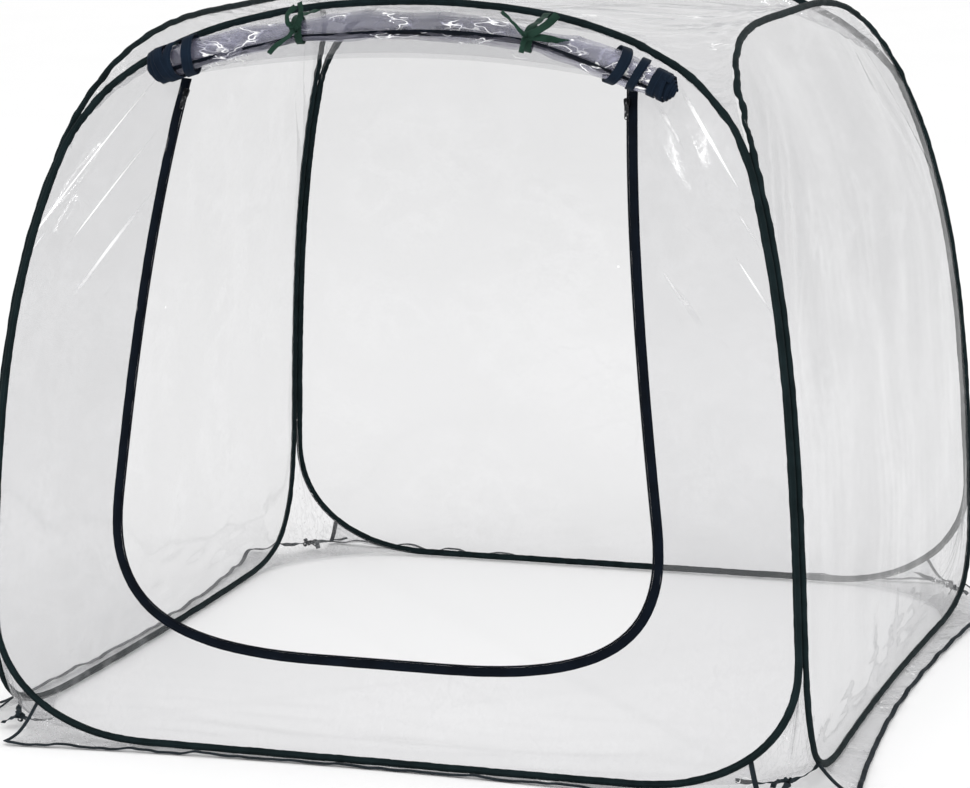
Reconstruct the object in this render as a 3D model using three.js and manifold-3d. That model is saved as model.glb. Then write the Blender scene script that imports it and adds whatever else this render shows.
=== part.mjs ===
// Mini pop up greenhouse: four sprung steel hoops in fabric sleeves carry clear film walls and a film roof.
// The front wall has a zipped doorway whose film door is rolled up and tied under the hoop.
// Millimetres, +Z up, the front wall faces -Y, and the origin is on the ground under the middle.

import * as THREE from "three";
import { mergeVertices } from "three/addons/utils/BufferGeometryUtils.js";
import Module from "manifold-3d";

const wasm = await Module();
wasm.setup();

// ---------------------------------------------------------------- driving dimensions

const HALF_WIDTH = 630; // from the middle to each wall's film at the ground
const LEAN_SLOPE = 0.035; // how far a wall leans in per millimetre of height
const LEAN_CURL = 122; // extra lean at a height of one metre, rising with the fourth power
const SIDE_BOW = 17; // how far the side walls' bottom edges bow in at the middle
const BOW_FADE = 208; // height over which that bow dies away

const SLEEVE_HALF_WIDTH = 6.5; // across the hoop's path, in the wall's surface
const SLEEVE_HALF_DEPTH = 5; // through the wall
const SEAM_INSET = 9; // from the corner where two walls meet to each hoop's centre line
const FABRIC = 1.3; // thickness of a sleeve's wall
const CLEAR = 0.4; // gap left between touching pieces
const FILM = 0.8; // thickness of the film solids

const FRONT_HOOP = { height: 1090, leaves: 864, shoulder: 189, crown: 214, corner: 201, flat: 375, turn: 0.58 };
const SIDE_HOOP = { height: 1048, leaves: 893, shoulder: 183, crown: 227, corner: 272, flat: 370, turn: 0.79 };

const FLAT_STEPS = 2; // straight pieces that each stretch of half a hoop is drawn with
const CORNER_STEPS = 7;
const SIDE_STEPS = 6;
const ARCH_STEPS = 8;

const DOOR = { bottom: 150, flat: 100, low: 375, lowHalf: 412.5, top: 978, topHalf: 342, turn: 0.74 };
const DOOR_HEAD = { middle: 1012, drop: 30 }; // top edge of the doorway, an arch
const TAPE_WIDTH = 15;
const TAPE_DEPTH = 1.6;
const COIL_WIDTH = 3;
const COIL_DEPTH = 2.6;

const ROLL = { middle: 1061, droop: 77, reach: 400, power: 2.2, standoff: 48, left: -383, right: 412 };
const TIE_AT = [-172, 204]; // along the roll
const TIE_WIDTH = 12;

const SKIRT = { half: 545, flare: 30, gap: 8, depth: 1 };
const SKIRT_MIDDLE = [12, 32, 20, 26]; // reach of each wall's skirt at its middle
const SKIRT_END = [46, 60, 46, 60]; // and at its ends
const BINDING_WIDTH = 8;
const BINDING_DEPTH = 2;

const WALLS = ["front", "right", "back", "left"];
const HOOPS = [FRONT_HOOP, SIDE_HOOP, FRONT_HOOP, SIDE_HOOP];

// ---------------------------------------------------------------- materials

const LOOKS = {
  film: { color: 0xe6e6ea, roughness: 0.12, metalness: 0, transparent: true, opacity: 0.35 },
  sleeve: { color: 0x24353a, roughness: 0.85, metalness: 0 },
  tape: { color: 0x101c2c, roughness: 0.8, metalness: 0 },
  ribbon: { color: 0x2f5546, roughness: 0.8, metalness: 0 },
  steel: { color: 0x9a9c9e, roughness: 0.35, metalness: 1 },
  slider: { color: 0x15171a, roughness: 0.4, metalness: 0.6 },
};

// ---------------------------------------------------------------- small helpers

const vec = (x, y, z) => new THREE.Vector3(x, y, z);

/** Values from low to high in the given number of equal steps. */
function steps(low, high, count) {
  return Array.from({ length: count + 1 }, (_, i) => low + ((high - low) * i) / count);
}

/** A mesh with its own material. */
function piece(name, geometry, look) {
  const mesh = new THREE.Mesh(geometry, new THREE.MeshStandardMaterial(LOOKS[look]));
  mesh.name = name;
  return mesh;
}

/** Closed body from points and triangles, turned inside out if its faces point inwards. */
function body(points, faces) {
  let volume = 0;
  for (const [a, b, c] of faces) {
    volume += points[a].dot(points[b].clone().cross(points[c]));
  }
  const outward = volume > 0 ? faces : faces.map(([a, b, c]) => [a, c, b]);
  const geometry = new THREE.BufferGeometry();
  geometry.setAttribute("position", new THREE.Float32BufferAttribute(points.flatMap((p) => [p.x, p.y, p.z]), 3));
  geometry.setIndex(outward.flat());
  return geometry;
}

/** Two triangles for each cell of a grid of points, whose rows close round if asked. */
function gridFaces(rows, columns, first, closed) {
  const faces = [];
  const at = (i, j) => first + i * columns + (j % columns);
  for (let i = 0; i + 1 < rows; i++) {
    for (let j = 0; j < (closed ? columns : columns - 1); j++) {
      faces.push([at(i, j), at(i, j + 1), at(i + 1, j + 1)], [at(i, j), at(i + 1, j + 1), at(i + 1, j)]);
    }
  }
  return faces;
}

/** Solid bar through a row of convex rings. */
function loft(rings) {
  const count = rings[0].length;
  const last = (rings.length - 1) * count;
  const faces = gridFaces(rings.length, count, 0, true);
  for (let j = 1; j + 1 < count; j++) {
    faces.push([0, j + 1, j], [last, last + j, last + j + 1]);
  }
  return body(rings.flat(), faces);
}

/** Open-ended tube between outer and inner rings. */
function hollowLoft(outer, inner) {
  const count = outer[0].length;
  const total = outer.length * count;
  const faces = gridFaces(outer.length, count, 0, true);
  faces.push(...gridFaces(inner.length, count, total, true).map(([a, b, c]) => [a, c, b]));
  const last = total - count;
  for (let j = 0; j < count; j++) {
    const next = (j + 1) % count;
    faces.push([j, total + next, next], [j, total + j, total + next]);
    faces.push([last + j, last + next, total + last + next], [last + j, total + last + next, total + last + j]);
  }
  return body([...outer.flat(), ...inner.flat()], faces);
}

/** Thin plate between two grids of points, the front one and the back one. */
function plate(front, back) {
  const rows = front.length;
  const columns = front[0].length;
  const total = rows * columns;
  const faces = gridFaces(rows, columns, 0, false);
  faces.push(...gridFaces(rows, columns, total, false).map(([a, b, c]) => [a, c, b]));
  const rim = [];
  for (let j = 0; j < columns; j++) rim.push(j);
  for (let i = 1; i < rows; i++) rim.push(i * columns + columns - 1);
  for (let j = columns - 2; j >= 0; j--) rim.push((rows - 1) * columns + j);
  for (let i = rows - 2; i > 0; i--) rim.push(i * columns);
  rim.forEach((a, i) => {
    const b = rim[(i + 1) % rim.length];
    faces.push([a, total + b, b], [a, total + a, total + b]);
  });
  return body([...front.flat(), ...back.flat()], faces);
}

/** Plate of the given thickness about a grid of points, using the grid's own normals. */
function sheet(grid, thickness) {
  const offset = (sign) =>
    grid.map((row, i) =>
      row.map((p, j) => {
        const across = row[Math.min(j + 1, row.length - 1)].clone().sub(row[Math.max(j - 1, 0)]);
        const along = grid[Math.min(i + 1, grid.length - 1)][j].clone().sub(grid[Math.max(i - 1, 0)][j]);
        return p.clone().addScaledVector(across.cross(along).normalize(), (sign * thickness) / 2);
      })
    );
  return plate(offset(1), offset(-1));
}

/** A geometry as a manifold-3d solid. */
function solid(geometry) {
  const plain = geometry.clone();
  plain.deleteAttribute("normal");
  plain.deleteAttribute("uv");
  const merged = mergeVertices(plain, 1e-4);
  const vertProperties = new Float32Array(merged.attributes.position.array);
  const triVerts = new Uint32Array(merged.index.array);
  return new wasm.Manifold(new wasm.Mesh({ numProp: 3, vertProperties, triVerts }));
}

/** A manifold-3d solid as a geometry. */
function geometryOf(manifold) {
  const mesh = manifold.getMesh();
  const geometry = new THREE.BufferGeometry();
  geometry.setAttribute("position", new THREE.Float32BufferAttribute(mesh.vertProperties, 3));
  geometry.setIndex(Array.from(mesh.triVerts));
  return geometry;
}

/** Several overlapping geometries joined into one body. */
function joined(...geometries) {
  return geometryOf(geometries.map(solid).reduce((all, next) => all.add(next)));
}

/** Points along a cubic curve in the plane, without its first point. */
function bend(a, b, c, d, count) {
  const [p, q, r, s] = [a, b, c, d].map(([x, y]) => new THREE.Vector2(x, y));
  return new THREE.CubicBezierCurve(p, q, r, s).getPoints(count).slice(1).map((point) => [point.x, point.y]);
}

// ---------------------------------------------------------------- the walls' surfaces

const lean = (z) => LEAN_SLOPE * z + LEAN_CURL * (z / 1000) ** 4;
const leanRate = (z) => LEAN_SLOPE + (4 * LEAN_CURL * (z / 1000) ** 3) / 1000;

/** Outward normal of a wall's surface in the wall's own frame, where the wall faces -Y. */
const wallNormal = (z) => vec(0, -1, leanRate(z)).normalize();

/** Point on a wall, in that wall's own frame: u along it, z up, and out away from its surface. */
function onWall(wall, u, z, out = 0) {
  const bow = wall % 2 ? SIDE_BOW * Math.cos((Math.PI * u) / (2 * HALF_WIDTH)) * Math.exp(-z / BOW_FADE) : 0;
  return vec(u, bow - HALF_WIDTH + lean(z), z).addScaledVector(wallNormal(z), out);
}

/** The same point in the greenhouse's frame. */
function inPlace(wall, point) {
  return point.clone().applyAxisAngle(vec(0, 0, 1), (wall * Math.PI) / 2);
}

/** Half of a hoop's centre line as [u, z], from the middle of the bottom to the middle of the top. */
function halfHoop(hoop) {
  const side = (z) => HALF_WIDTH - lean(z) - SEAM_INSET;
  const base = SLEEVE_HALF_WIDTH;
  const slant = (z) => new THREE.Vector2(-leanRate(z), 1).normalize();
  const low = slant(hoop.corner);
  const high = slant(hoop.leaves);
  const path = steps(0, hoop.flat, FLAT_STEPS).map((u) => [u, base]);
  path.push(
    ...bend(
      [hoop.flat, base],
      [hoop.flat + (side(0) - hoop.flat) * hoop.turn, base],
      [side(hoop.corner) - low.x * hoop.corner * hoop.turn, hoop.corner - low.y * hoop.corner * hoop.turn],
      [side(hoop.corner), hoop.corner],
      CORNER_STEPS
    )
  );
  path.push(...steps(hoop.corner, hoop.leaves, SIDE_STEPS).slice(1).map((z) => [side(z), z]));
  path.push(
    ...bend(
      [side(hoop.leaves), hoop.leaves],
      [side(hoop.leaves) + high.x * hoop.shoulder, hoop.leaves + high.y * hoop.shoulder],
      [hoop.crown, hoop.height],
      [0, hoop.height],
      ARCH_STEPS
    )
  );
  return path;
}

/** A path moved sideways in the plane, to its right for a positive distance. */
function shifted(path, distance) {
  return path.map(([u, z], i) => {
    const [u0, z0] = path[Math.max(i - 1, 0)];
    const [u1, z1] = path[Math.min(i + 1, path.length - 1)];
    const length = Math.hypot(u1 - u0, z1 - z0);
    return [u + ((z1 - z0) / length) * distance, z - ((u1 - u0) / length) * distance];
  });
}

/** A half path joined to its mirror image, leaving a gap of twice the given half gap at the bottom. */
function wholeLoop(half, halfGap) {
  const start = [[halfGap, half[0][1]], ...half.slice(1)];
  return [...start, ...start.slice(0, -1).reverse().map(([u, z]) => [-u, z])];
}

/** Rings about a path drawn on a wall: across is measured in the surface and depth through it. */
function ringsAlong(wall, path, section, out = 0) {
  const points = path.map(([u, z]) => onWall(wall, u, z, out));
  return points.map((p, i) => {
    const before = points[Math.max(i - 1, 0)];
    const after = points[Math.min(i + 1, points.length - 1)];
    const normal = wallNormal(p.z);
    const across = after.clone().sub(before).normalize().cross(normal).normalize();
    return section.map(([s, n]) => p.clone().addScaledVector(across, s).addScaledVector(normal, n));
  });
}

/** Six-sided section with its points at plus and minus the half width. */
function hexagon(halfWidth, halfDepth) {
  const side = halfWidth / 2;
  return [
    [halfWidth, 0],
    [side, halfDepth],
    [-side, halfDepth],
    [-halfWidth, 0],
    [-side, -halfDepth],
    [side, -halfDepth],
  ];
}

function rectangle(halfWidth, halfDepth) {
  return [
    [halfWidth, -halfDepth],
    [halfWidth, halfDepth],
    [-halfWidth, halfDepth],
    [-halfWidth, -halfDepth],
  ];
}

// ---------------------------------------------------------------- hoops, sleeves and wall films

const STRIP = { halfWidth: 2.5, halfDepth: 0.8, halfGap: 0.5 };
const FERRULE_REACH = 24;

function hoopStrip(wall) {
  const path = wholeLoop(halfHoop(HOOPS[wall]), STRIP.halfGap);
  return piece(`${WALLS[wall]}_hoop`, loft(ringsAlong(wall, path, rectangle(STRIP.halfWidth, STRIP.halfDepth))), "steel");
}

/** Crimped tube that joins the two ends of a hoop, inside the sleeve. */
function ferrule(wall) {
  const path = steps(-FERRULE_REACH, FERRULE_REACH, 4).map((u) => [u, SLEEVE_HALF_WIDTH]);
  const outer = ringsAlong(wall, path, hexagon(4.6, 2.6));
  const inner = ringsAlong(wall, path, hexagon(4, 1.9));
  return piece(`${WALLS[wall]}_hoop_ferrule`, hollowLoft(outer, inner), "steel");
}

function sleeve(wall) {
  const path = wholeLoop(halfHoop(HOOPS[wall]), 1);
  const outer = ringsAlong(wall, path, hexagon(SLEEVE_HALF_WIDTH, SLEEVE_HALF_DEPTH));
  const inner = ringsAlong(
    wall,
    path,
    hexagon(SLEEVE_HALF_WIDTH - FABRIC, SLEEVE_HALF_DEPTH - FABRIC * 1.4)
  );
  return piece(`${WALLS[wall]}_sleeve`, hollowLoft(outer, inner), "sleeve");
}

/** Film that fills a hoop, made of level rows across the wall. */
function wallFilm(wall) {
  const edge = shifted(halfHoop(HOOPS[wall]), -(SLEEVE_HALF_WIDTH + CLEAR + 0.4)).slice(FLAT_STEPS, -1);
  const columns = wall % 2 ? 6 : 2;
  const side = (out) => edge.map(([u, z]) => steps(-u, u, columns).map((v) => onWall(wall, v, z, out)));
  return plate(side(FILM / 2), side(-FILM / 2));
}

// ---------------------------------------------------------------- doorway

/** Half of the zip tape's centre line as [u, z], from the middle of the bottom up to its right end. */
function halfDoor() {
  const path = steps(0, DOOR.flat, 3).map((u) => [u, DOOR.bottom]);
  const slope = (DOOR.lowHalf - DOOR.topHalf) / (DOOR.top - DOOR.low);
  const rise = (DOOR.low - DOOR.bottom) * DOOR.turn;
  path.push(
    ...bend(
      [DOOR.flat, DOOR.bottom],
      [DOOR.flat + (DOOR.lowHalf - DOOR.flat) * DOOR.turn, DOOR.bottom],
      [DOOR.lowHalf + rise * slope, DOOR.low - rise],
      [DOOR.lowHalf, DOOR.low],
      10
    )
  );
  const side = steps(DOOR.low, DOOR.top, 9).slice(1);
  path.push(...side.map((z) => [DOOR.lowHalf - (z - DOOR.low) * slope, z]));
  return path;
}

/** A half path and its mirror image, from the top left round the bottom to the top right. */
function acrossDoor(half) {
  return [...half.slice(1).reverse().map(([u, z]) => [-u, z]), ...half];
}

const headHeight = (u) => DOOR_HEAD.middle - DOOR_HEAD.drop * (u / DOOR.topHalf) ** 2;

/** Prism through the front wall that opens the doorway out to the tape's outer edge. */
function doorCutter() {
  const edge = acrossDoor(shifted(halfDoor(), TAPE_WIDTH / 2 + CLEAR));
  const reach = edge[edge.length - 1][0];
  const head = steps(reach, -reach, 12).map((u) => [u, headHeight(u)]);
  const below = edge.filter(([u, z]) => z < headHeight(u) - 2);
  const outline = new THREE.Shape([...below, ...head].map(([u, z]) => new THREE.Vector2(u, z)));
  const prism = new THREE.ExtrudeGeometry(outline, { depth: HALF_WIDTH, bevelEnabled: false });
  return prism.rotateX(Math.PI / 2);
}

function frontFilm() {
  return geometryOf(solid(wallFilm(0)).subtract(solid(doorCutter())));
}

function doorTape() {
  const rings = ringsAlong(0, acrossDoor(halfDoor()), rectangle(TAPE_WIDTH / 2, TAPE_DEPTH / 2));
  return piece("door_zip_tape", loft(rings), "tape");
}

const COIL_INSET = TAPE_WIDTH / 2 + CLEAR + COIL_WIDTH / 2;

function doorCoil() {
  const path = acrossDoor(shifted(halfDoor(), -COIL_INSET));
  const rings = ringsAlong(0, path, rectangle(COIL_WIDTH / 2, COIL_DEPTH / 2));
  return piece("door_zip_coil", loft(rings), "tape");
}

// ---------------------------------------------------------------- rolled-up door

const ROLL_SIDES = 10;

/** Centre of the roll at a place along it. */
function rollCentre(u) {
  const z = ROLL.middle - ROLL.droop * (Math.abs(u) / ROLL.reach) ** ROLL.power;
  return vec(u, lean(z) - HALF_WIDTH - ROLL.standoff, z);
}

/** Radius of the roll, pinched in by the two ties and fuller towards its ends. */
function rollRadius(u) {
  const pinch = TIE_AT.reduce((sum, tie) => sum + Math.exp(-(((u - tie) / 34) ** 2)), 0);
  const swell = Math.exp(-(((Math.abs(u) - 318) / 46) ** 2));
  const taper = Math.max(0, u - 350) * 0.07;
  return 22.5 - 5 * pinch + 3 * swell - taper;
}

/** Ring about the roll's path, upright across it. */
function rollRing(u, radius, sides = ROLL_SIDES) {
  const ahead = rollCentre(u + 1).sub(rollCentre(u - 1)).normalize();
  const side = vec(0, -1, 0);
  const up = side.clone().cross(ahead).normalize();
  return steps(0, 2 * Math.PI, sides)
    .slice(0, -1)
    .map((a) =>
      rollCentre(u)
        .addScaledVector(side, radius * Math.cos(a))
        .addScaledVector(up, radius * Math.sin(a))
    );
}

const WRAP_DEPTH = 2.4;
const WRAPS = { door_edge_wrap_left: [-381, -330], door_edge_wrap_right: [316, 368] };

function doorRoll() {
  const places = steps(ROLL.left, ROLL.right, 30);
  return piece("door_roll", loft(places.map((u) => rollRing(u, rollRadius(u)))), "film");
}

/** Zip tape of the door's own edge, wound round the end of the roll. */
function edgeWrap(name, [from, to]) {
  const places = steps(from, to, 5);
  const outer = places.map((u) => rollRing(u, rollRadius(u) + CLEAR + WRAP_DEPTH));
  const inner = places.map((u) => rollRing(u, rollRadius(u) + CLEAR));
  return piece(name, hollowLoft(outer, inner), "tape");
}

/** Top strip of the door film, from the doorway's head to the underside of the roll. */
function doorFilm() {
  const places = steps(-DOOR.topHalf + 16, DOOR.topHalf - 16, 14);
  const grid = places.map((u) => {
    const head = onWall(0, u, headHeight(u) + 6, 1.6);
    const centre = rollCentre(u);
    const radius = rollRadius(u) + WRAP_DEPTH + 2 * CLEAR + FILM;
    const under = centre.clone().add(vec(0, 0.64 * radius, -0.77 * radius));
    const sag = head.clone().lerp(under, 0.5).add(vec(0, -1, -4));
    return [head, sag, under];
  });
  return piece("door_film", sheet(grid, FILM), "film");
}

/** Ribbon that holds the roll: a band round it, a strap up to the wall, a knot and two tails. */
function doorTie(index) {
  const at = TIE_AT[index];
  const radius = rollRadius(at) + 1.6;
  const places = [at - TIE_WIDTH / 2, at, at + TIE_WIDTH / 2];
  const band = hollowLoft(
    places.map((u) => rollRing(u, radius + 1.4)),
    places.map((u) => rollRing(u, radius))
  );
  const centre = rollCentre(at);
  const knot = new THREE.SphereGeometry(6.5, 6, 4).translate(centre.x, centre.y - radius - 5.5, centre.z + 4);
  const tail = (turn, length) =>
    new THREE.BoxGeometry(9, 1.6, length)
      .translate(0, 0, -length / 2)
      .rotateY(turn)
      .translate(centre.x, centre.y - radius - 5.5, centre.z + 4);
  const strap = new THREE.BoxGeometry(9, 28, 1.6).translate(centre.x, centre.y + radius + 13, centre.z + 4);
  const tails = [tail(0.9, 40), tail(-0.5, 34), tail(2.5, 30)];
  return piece(index ? "door_tie_right" : "door_tie_left", joined(band, knot, strap, ...tails), "ribbon");
}

// ---------------------------------------------------------------- zip sliders

const SLIDER = { height: 956, out: 5.4, width: 9, length: 14, depth: 6 };
const PULL = { width: 6, length: 26, depth: 1.2, eye: 1.9, cross: 0.8, out: 1.3 };

/** Group whose origin is the slider's middle, with +Z up the tape and -Y away from the wall. */
function sliderFrame(sign) {
  const slope = (DOOR.lowHalf - DOOR.topHalf) / (DOOR.top - DOOR.low);
  const u = DOOR.lowHalf - (SLIDER.height - DOOR.low) * slope - COIL_INSET;
  const frame = new THREE.Group();
  frame.position.copy(onWall(0, sign * u, SLIDER.height, SLIDER.out));
  frame.rotation.set(-Math.atan(leanRate(SLIDER.height)), -sign * Math.atan(slope), 0, "XYZ");
  return frame;
}

/** Slider body: a tapered block with a bridge that the pull hangs from. */
function sliderBody() {
  const { width, length, depth } = SLIDER;
  const outline = new THREE.Shape();
  outline.moveTo(-width * 0.32, -length / 2);
  outline.lineTo(width * 0.32, -length / 2);
  outline.quadraticCurveTo(width / 2, -length / 4, width / 2, length / 3);
  outline.quadraticCurveTo(width / 2, length / 2, 0, length / 2);
  outline.quadraticCurveTo(-width / 2, length / 2, -width / 2, length / 3);
  outline.quadraticCurveTo(-width / 2, -length / 4, -width * 0.32, -length / 2);
  const plateBlock = new THREE.ExtrudeGeometry(outline, { depth: depth / 2, bevelEnabled: false, curveSegments: 4 });
  plateBlock.rotateX(Math.PI / 2).translate(0, depth / 2, 0);
  const post = (z) => new THREE.BoxGeometry(2.4, 3.4, 2.2).translate(0, -1.5, z);
  const bar = new THREE.BoxGeometry(2.4, 1.4, 9).translate(0, -3.1, 0);
  return joined(plateBlock, post(-3.4), post(3.4), bar);
}

/** Pull tab: its crosspiece lies under the slider's bridge, and it has an eye at its free end. */
function pullTab() {
  const { width, length, depth, eye, cross } = PULL;
  const half = width / 2;
  const outline = new THREE.Shape();
  outline.moveTo(-half, cross);
  outline.lineTo(-half, half - length);
  outline.absarc(0, half - length, half, Math.PI, 2 * Math.PI, false);
  outline.lineTo(half, cross);
  const slot = new THREE.Path();
  slot.moveTo(-1.7, -5.8);
  slot.lineTo(-1.7, -cross);
  slot.lineTo(1.7, -cross);
  slot.lineTo(1.7, -5.8);
  const hole = new THREE.Path();
  hole.absarc(0, half - length, eye, 0, 2 * Math.PI, true);
  outline.holes.push(slot, hole);
  const tab = new THREE.ExtrudeGeometry(outline, { depth, bevelEnabled: false, curveSegments: 6 });
  return tab.rotateX(Math.PI / 2).translate(0, depth / 2, 0);
}

// ---------------------------------------------------------------- skirts

/** How far a skirt reaches out from its sleeve. */
function skirtReach(wall, u) {
  return SKIRT_MIDDLE[wall] + (SKIRT_END[wall] - SKIRT_MIDDLE[wall]) * (Math.abs(u) / SKIRT.half) ** 2;
}

/** Point on a skirt in its wall's frame: t runs from 0 at its straight sewn edge to 1 at the free edge. */
function onSkirt(wall, u, t, z) {
  const inner = -HALF_WIDTH - SKIRT.gap;
  const outer = onWall(wall, u, 0).y - SKIRT.gap - skirtReach(wall, u) + BINDING_WIDTH + CLEAR;
  return vec(u * (1 + (SKIRT.flare / SKIRT.half) * t), inner + (outer - inner) * t, z);
}

function skirtFilm(wall) {
  const places = steps(-SKIRT.half, SKIRT.half, 12);
  const side = (z) => places.map((u) => [0, 1].map((t) => onSkirt(wall, u, t, z)));
  return piece(`${WALLS[wall]}_skirt`, plate(side(SKIRT.depth), side(0)), "film");
}

/** Binding sewn round the three free edges of a skirt. */
function skirtBinding(wall) {
  const places = steps(-SKIRT.half, SKIRT.half, 12);
  const rim = [
    onSkirt(wall, -SKIRT.half, 0, 0),
    ...places.map((u) => onSkirt(wall, u, 1, 0)),
    onSkirt(wall, SKIRT.half, 0, 0),
  ];
  const near = bindingEdge(rim, CLEAR);
  const far = bindingEdge(rim, CLEAR + BINDING_WIDTH);
  const raised = (p) => p.clone().setZ(BINDING_DEPTH);
  const rings = rim.map((_, i) => [near[i], far[i], raised(far[i]), raised(near[i])]);
  return piece(`${WALLS[wall]}_skirt_binding`, loft(rings), "sleeve");
}

/** A line on the ground moved outwards, with mitred corners. */
function bindingEdge(line, distance) {
  return line.map((p, i) => {
    const before = line[Math.max(i - 1, 0)];
    const after = line[Math.min(i + 1, line.length - 1)];
    const first = (i ? p.clone().sub(before) : after.clone().sub(p)).normalize();
    const second = (i < line.length - 1 ? after.clone().sub(p) : p.clone().sub(before)).normalize();
    const normal = (d) => vec(d.y, -d.x, 0);
    const miter = normal(first).add(normal(second)).normalize();
    return p.clone().addScaledVector(miter, distance / miter.dot(normal(first)));
  });
}

// ---------------------------------------------------------------- corners

const GUSSET = { rows: 6, inside: 6.2, pull: 48, ground: 1.6 };
const CORNERS = ["front_right", "back_right", "back_left", "front_left"];

/** Place on the corner where wall k meets the next one, at a height, moved inwards along the diagonal. */
function cornerPoint(corner, z, inwards) {
  const reach = HALF_WIDTH - lean(z) - inwards;
  return inPlace(corner, vec(reach, -reach, z));
}

/** Strip of sleeve fabric that holds two neighbouring sleeves together along their corner. */
function cornerSeam(corner) {
  const heights = steps(HOOPS[1].corner, HOOPS[0].leaves - 6, 12);
  const near = SLEEVE_HALF_DEPTH + 2;
  const grid = heights.map((z) => {
    const reach = HALF_WIDTH - lean(z);
    return [vec(reach - SEAM_INSET - 2, near - reach, z), vec(reach - near, SEAM_INSET + 2 - reach, z)].map((p) =>
      inPlace(corner, p)
    );
  });
  return piece(`corner_seam_${CORNERS[corner]}`, sheet(grid, 0.6), "sleeve");
}

/** Points on the inner face of a sleeve along its hoop's bottom corner, going up to where the seam starts. */
function cornerEdge(wall, sign, count) {
  const turn = halfHoop(HOOPS[wall]).slice(FLAT_STEPS, FLAT_STEPS + CORNER_STEPS + 1);
  const curve = new THREE.CatmullRomCurve3(turn.map(([u, z]) => vec(u, 0, z)));
  return steps(0.08, 1, count).map((t) => {
    const p = curve.getPoint(t);
    return inPlace(wall, onWall(wall, sign * p.x, p.z, -GUSSET.inside));
  });
}

/** Film that closes the rounded corner between two hoops down to the ground. */
function cornerGusset(corner) {
  const first = cornerEdge(corner, 1, GUSSET.rows);
  const second = cornerEdge((corner + 1) % 4, -1, GUSSET.rows);
  const grid = first.map((a, i) => {
    const b = second[i];
    const share = i / GUSSET.rows;
    const height = Math.max(GUSSET.ground, ((a.z + b.z) / 2) * share + GUSSET.ground * (1 - share));
    const middle = cornerPoint(corner, height, GUSSET.pull * (1 - share) + GUSSET.inside * share);
    return new THREE.QuadraticBezierCurve3(a, middle, b).getPoints(6);
  });
  const outwards = inPlace(corner, vec(0.65, -0.65, -0.4)).multiplyScalar(FILM / 2);
  const side = (sign) => grid.map((row) => row.map((p) => p.clone().addScaledVector(outwards, sign)));
  return piece(`corner_gusset_${CORNERS[corner]}`, plate(side(1), side(-1)), "film");
}

/** Flat ribbon through a row of points, with its width upright. */
function ribbon(points, width, depth) {
  const curve = new THREE.CatmullRomCurve3(points);
  const places = curve.getPoints(8);
  const rings = places.map((p, i) => {
    const ahead = curve.getTangent(i / 8);
    const up = vec(0, 0, 1);
    const side = ahead.clone().cross(up).normalize();
    const over = side.clone().cross(ahead).normalize();
    return [
      [1, -1],
      [1, 1],
      [-1, 1],
      [-1, -1],
    ].map(([s, n]) => p.clone().addScaledVector(side, (s * depth) / 2).addScaledVector(over, (n * width) / 2));
  });
  return loft(rings);
}

/** Ribbons from the two hoops knotted together across the corner, with one loose tail. */
function cornerTie(corner) {
  const place = (x, y, z) => inPlace(corner, vec(HALF_WIDTH - x, y - HALF_WIDTH, z));
  const knot = place(36, 36, 9);
  const ball = new THREE.SphereGeometry(7, 6, 4).translate(knot.x, knot.y, knot.z);
  const front = ribbon([place(104, 6, 19), place(72, 16, 11), knot], 7, 1.6);
  const side = ribbon([knot, place(16, 72, 11), place(6, 104, 19)], 7, 1.6);
  const tail = ribbon([knot, place(34, 22, 8), place(24, 6, 6)], 7, 1.6);
  return piece(`corner_tie_${CORNERS[corner]}`, joined(ball, front, side, tail), "sleeve");
}

// ---------------------------------------------------------------- roof

const ROOF = { cells: 14, inside: 6.4, cornerInside: 15, cornerHeight: 872, relax: 400 };

/** One edge of the roof, along the top of a hoop, between the two corners. */
function roofEdge(wall) {
  const half = halfHoop(HOOPS[wall]);
  const arch = half.slice(-ARCH_STEPS);
  const line = [...arch.map(([u, z]) => [-u, z]), ...arch.slice(0, -1).reverse()];
  const points = line.map(([u, z]) => inPlace(wall, onWall(wall, u, z, -ROOF.inside)));
  const right = cornerPoint(wall, ROOF.cornerHeight, ROOF.cornerInside);
  const left = cornerPoint((wall + 3) % 4, ROOF.cornerHeight, ROOF.cornerInside);
  const curve = new THREE.CatmullRomCurve3([left, ...points, right], false, "centripetal");
  return curve.getSpacedPoints(ROOF.cells);
}

/** Film stretched over the four hoop tops: its inside points settle midway between their neighbours. */
function roofFilm() {
  const n = ROOF.cells;
  const [front, right, back, left] = [0, 1, 2, 3].map(roofEdge);
  const grid = steps(0, n, n).map((i) =>
    steps(0, n, n).map((j) => {
      if (i === 0) return front[j].clone();
      if (i === n) return back[n - j].clone();
      if (j === 0) return left[n - i].clone();
      if (j === n) return right[i].clone();
      return left[n - i].clone().lerp(right[i], j / n);
    })
  );
  for (let pass = 0; pass < ROOF.relax; pass++) {
    for (let i = 1; i < n; i++) {
      for (let j = 1; j < n; j++) {
        const around = [grid[i - 1][j], grid[i + 1][j], grid[i][j - 1], grid[i][j + 1]];
        grid[i][j] = around.reduce((sum, p) => sum.add(p), vec(0, 0, 0)).divideScalar(4);
      }
    }
  }
  return piece("roof_film", sheet(grid, FILM), "film");
}

// ---------------------------------------------------------------- assembly

const greenhouse = new THREE.Group();

WALLS.forEach((name, wall) => {
  const frame = new THREE.Group();
  frame.rotation.z = (wall * Math.PI) / 2;
  frame.add(hoopStrip(wall), ferrule(wall), sleeve(wall));
  frame.add(piece(`${name}_film`, wall ? wallFilm(wall) : frontFilm(), "film"));
  frame.add(skirtFilm(wall), skirtBinding(wall));
  greenhouse.add(frame);
});

CORNERS.forEach((name, corner) => {
  greenhouse.add(cornerSeam(corner), cornerGusset(corner), cornerTie(corner));
});

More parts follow.
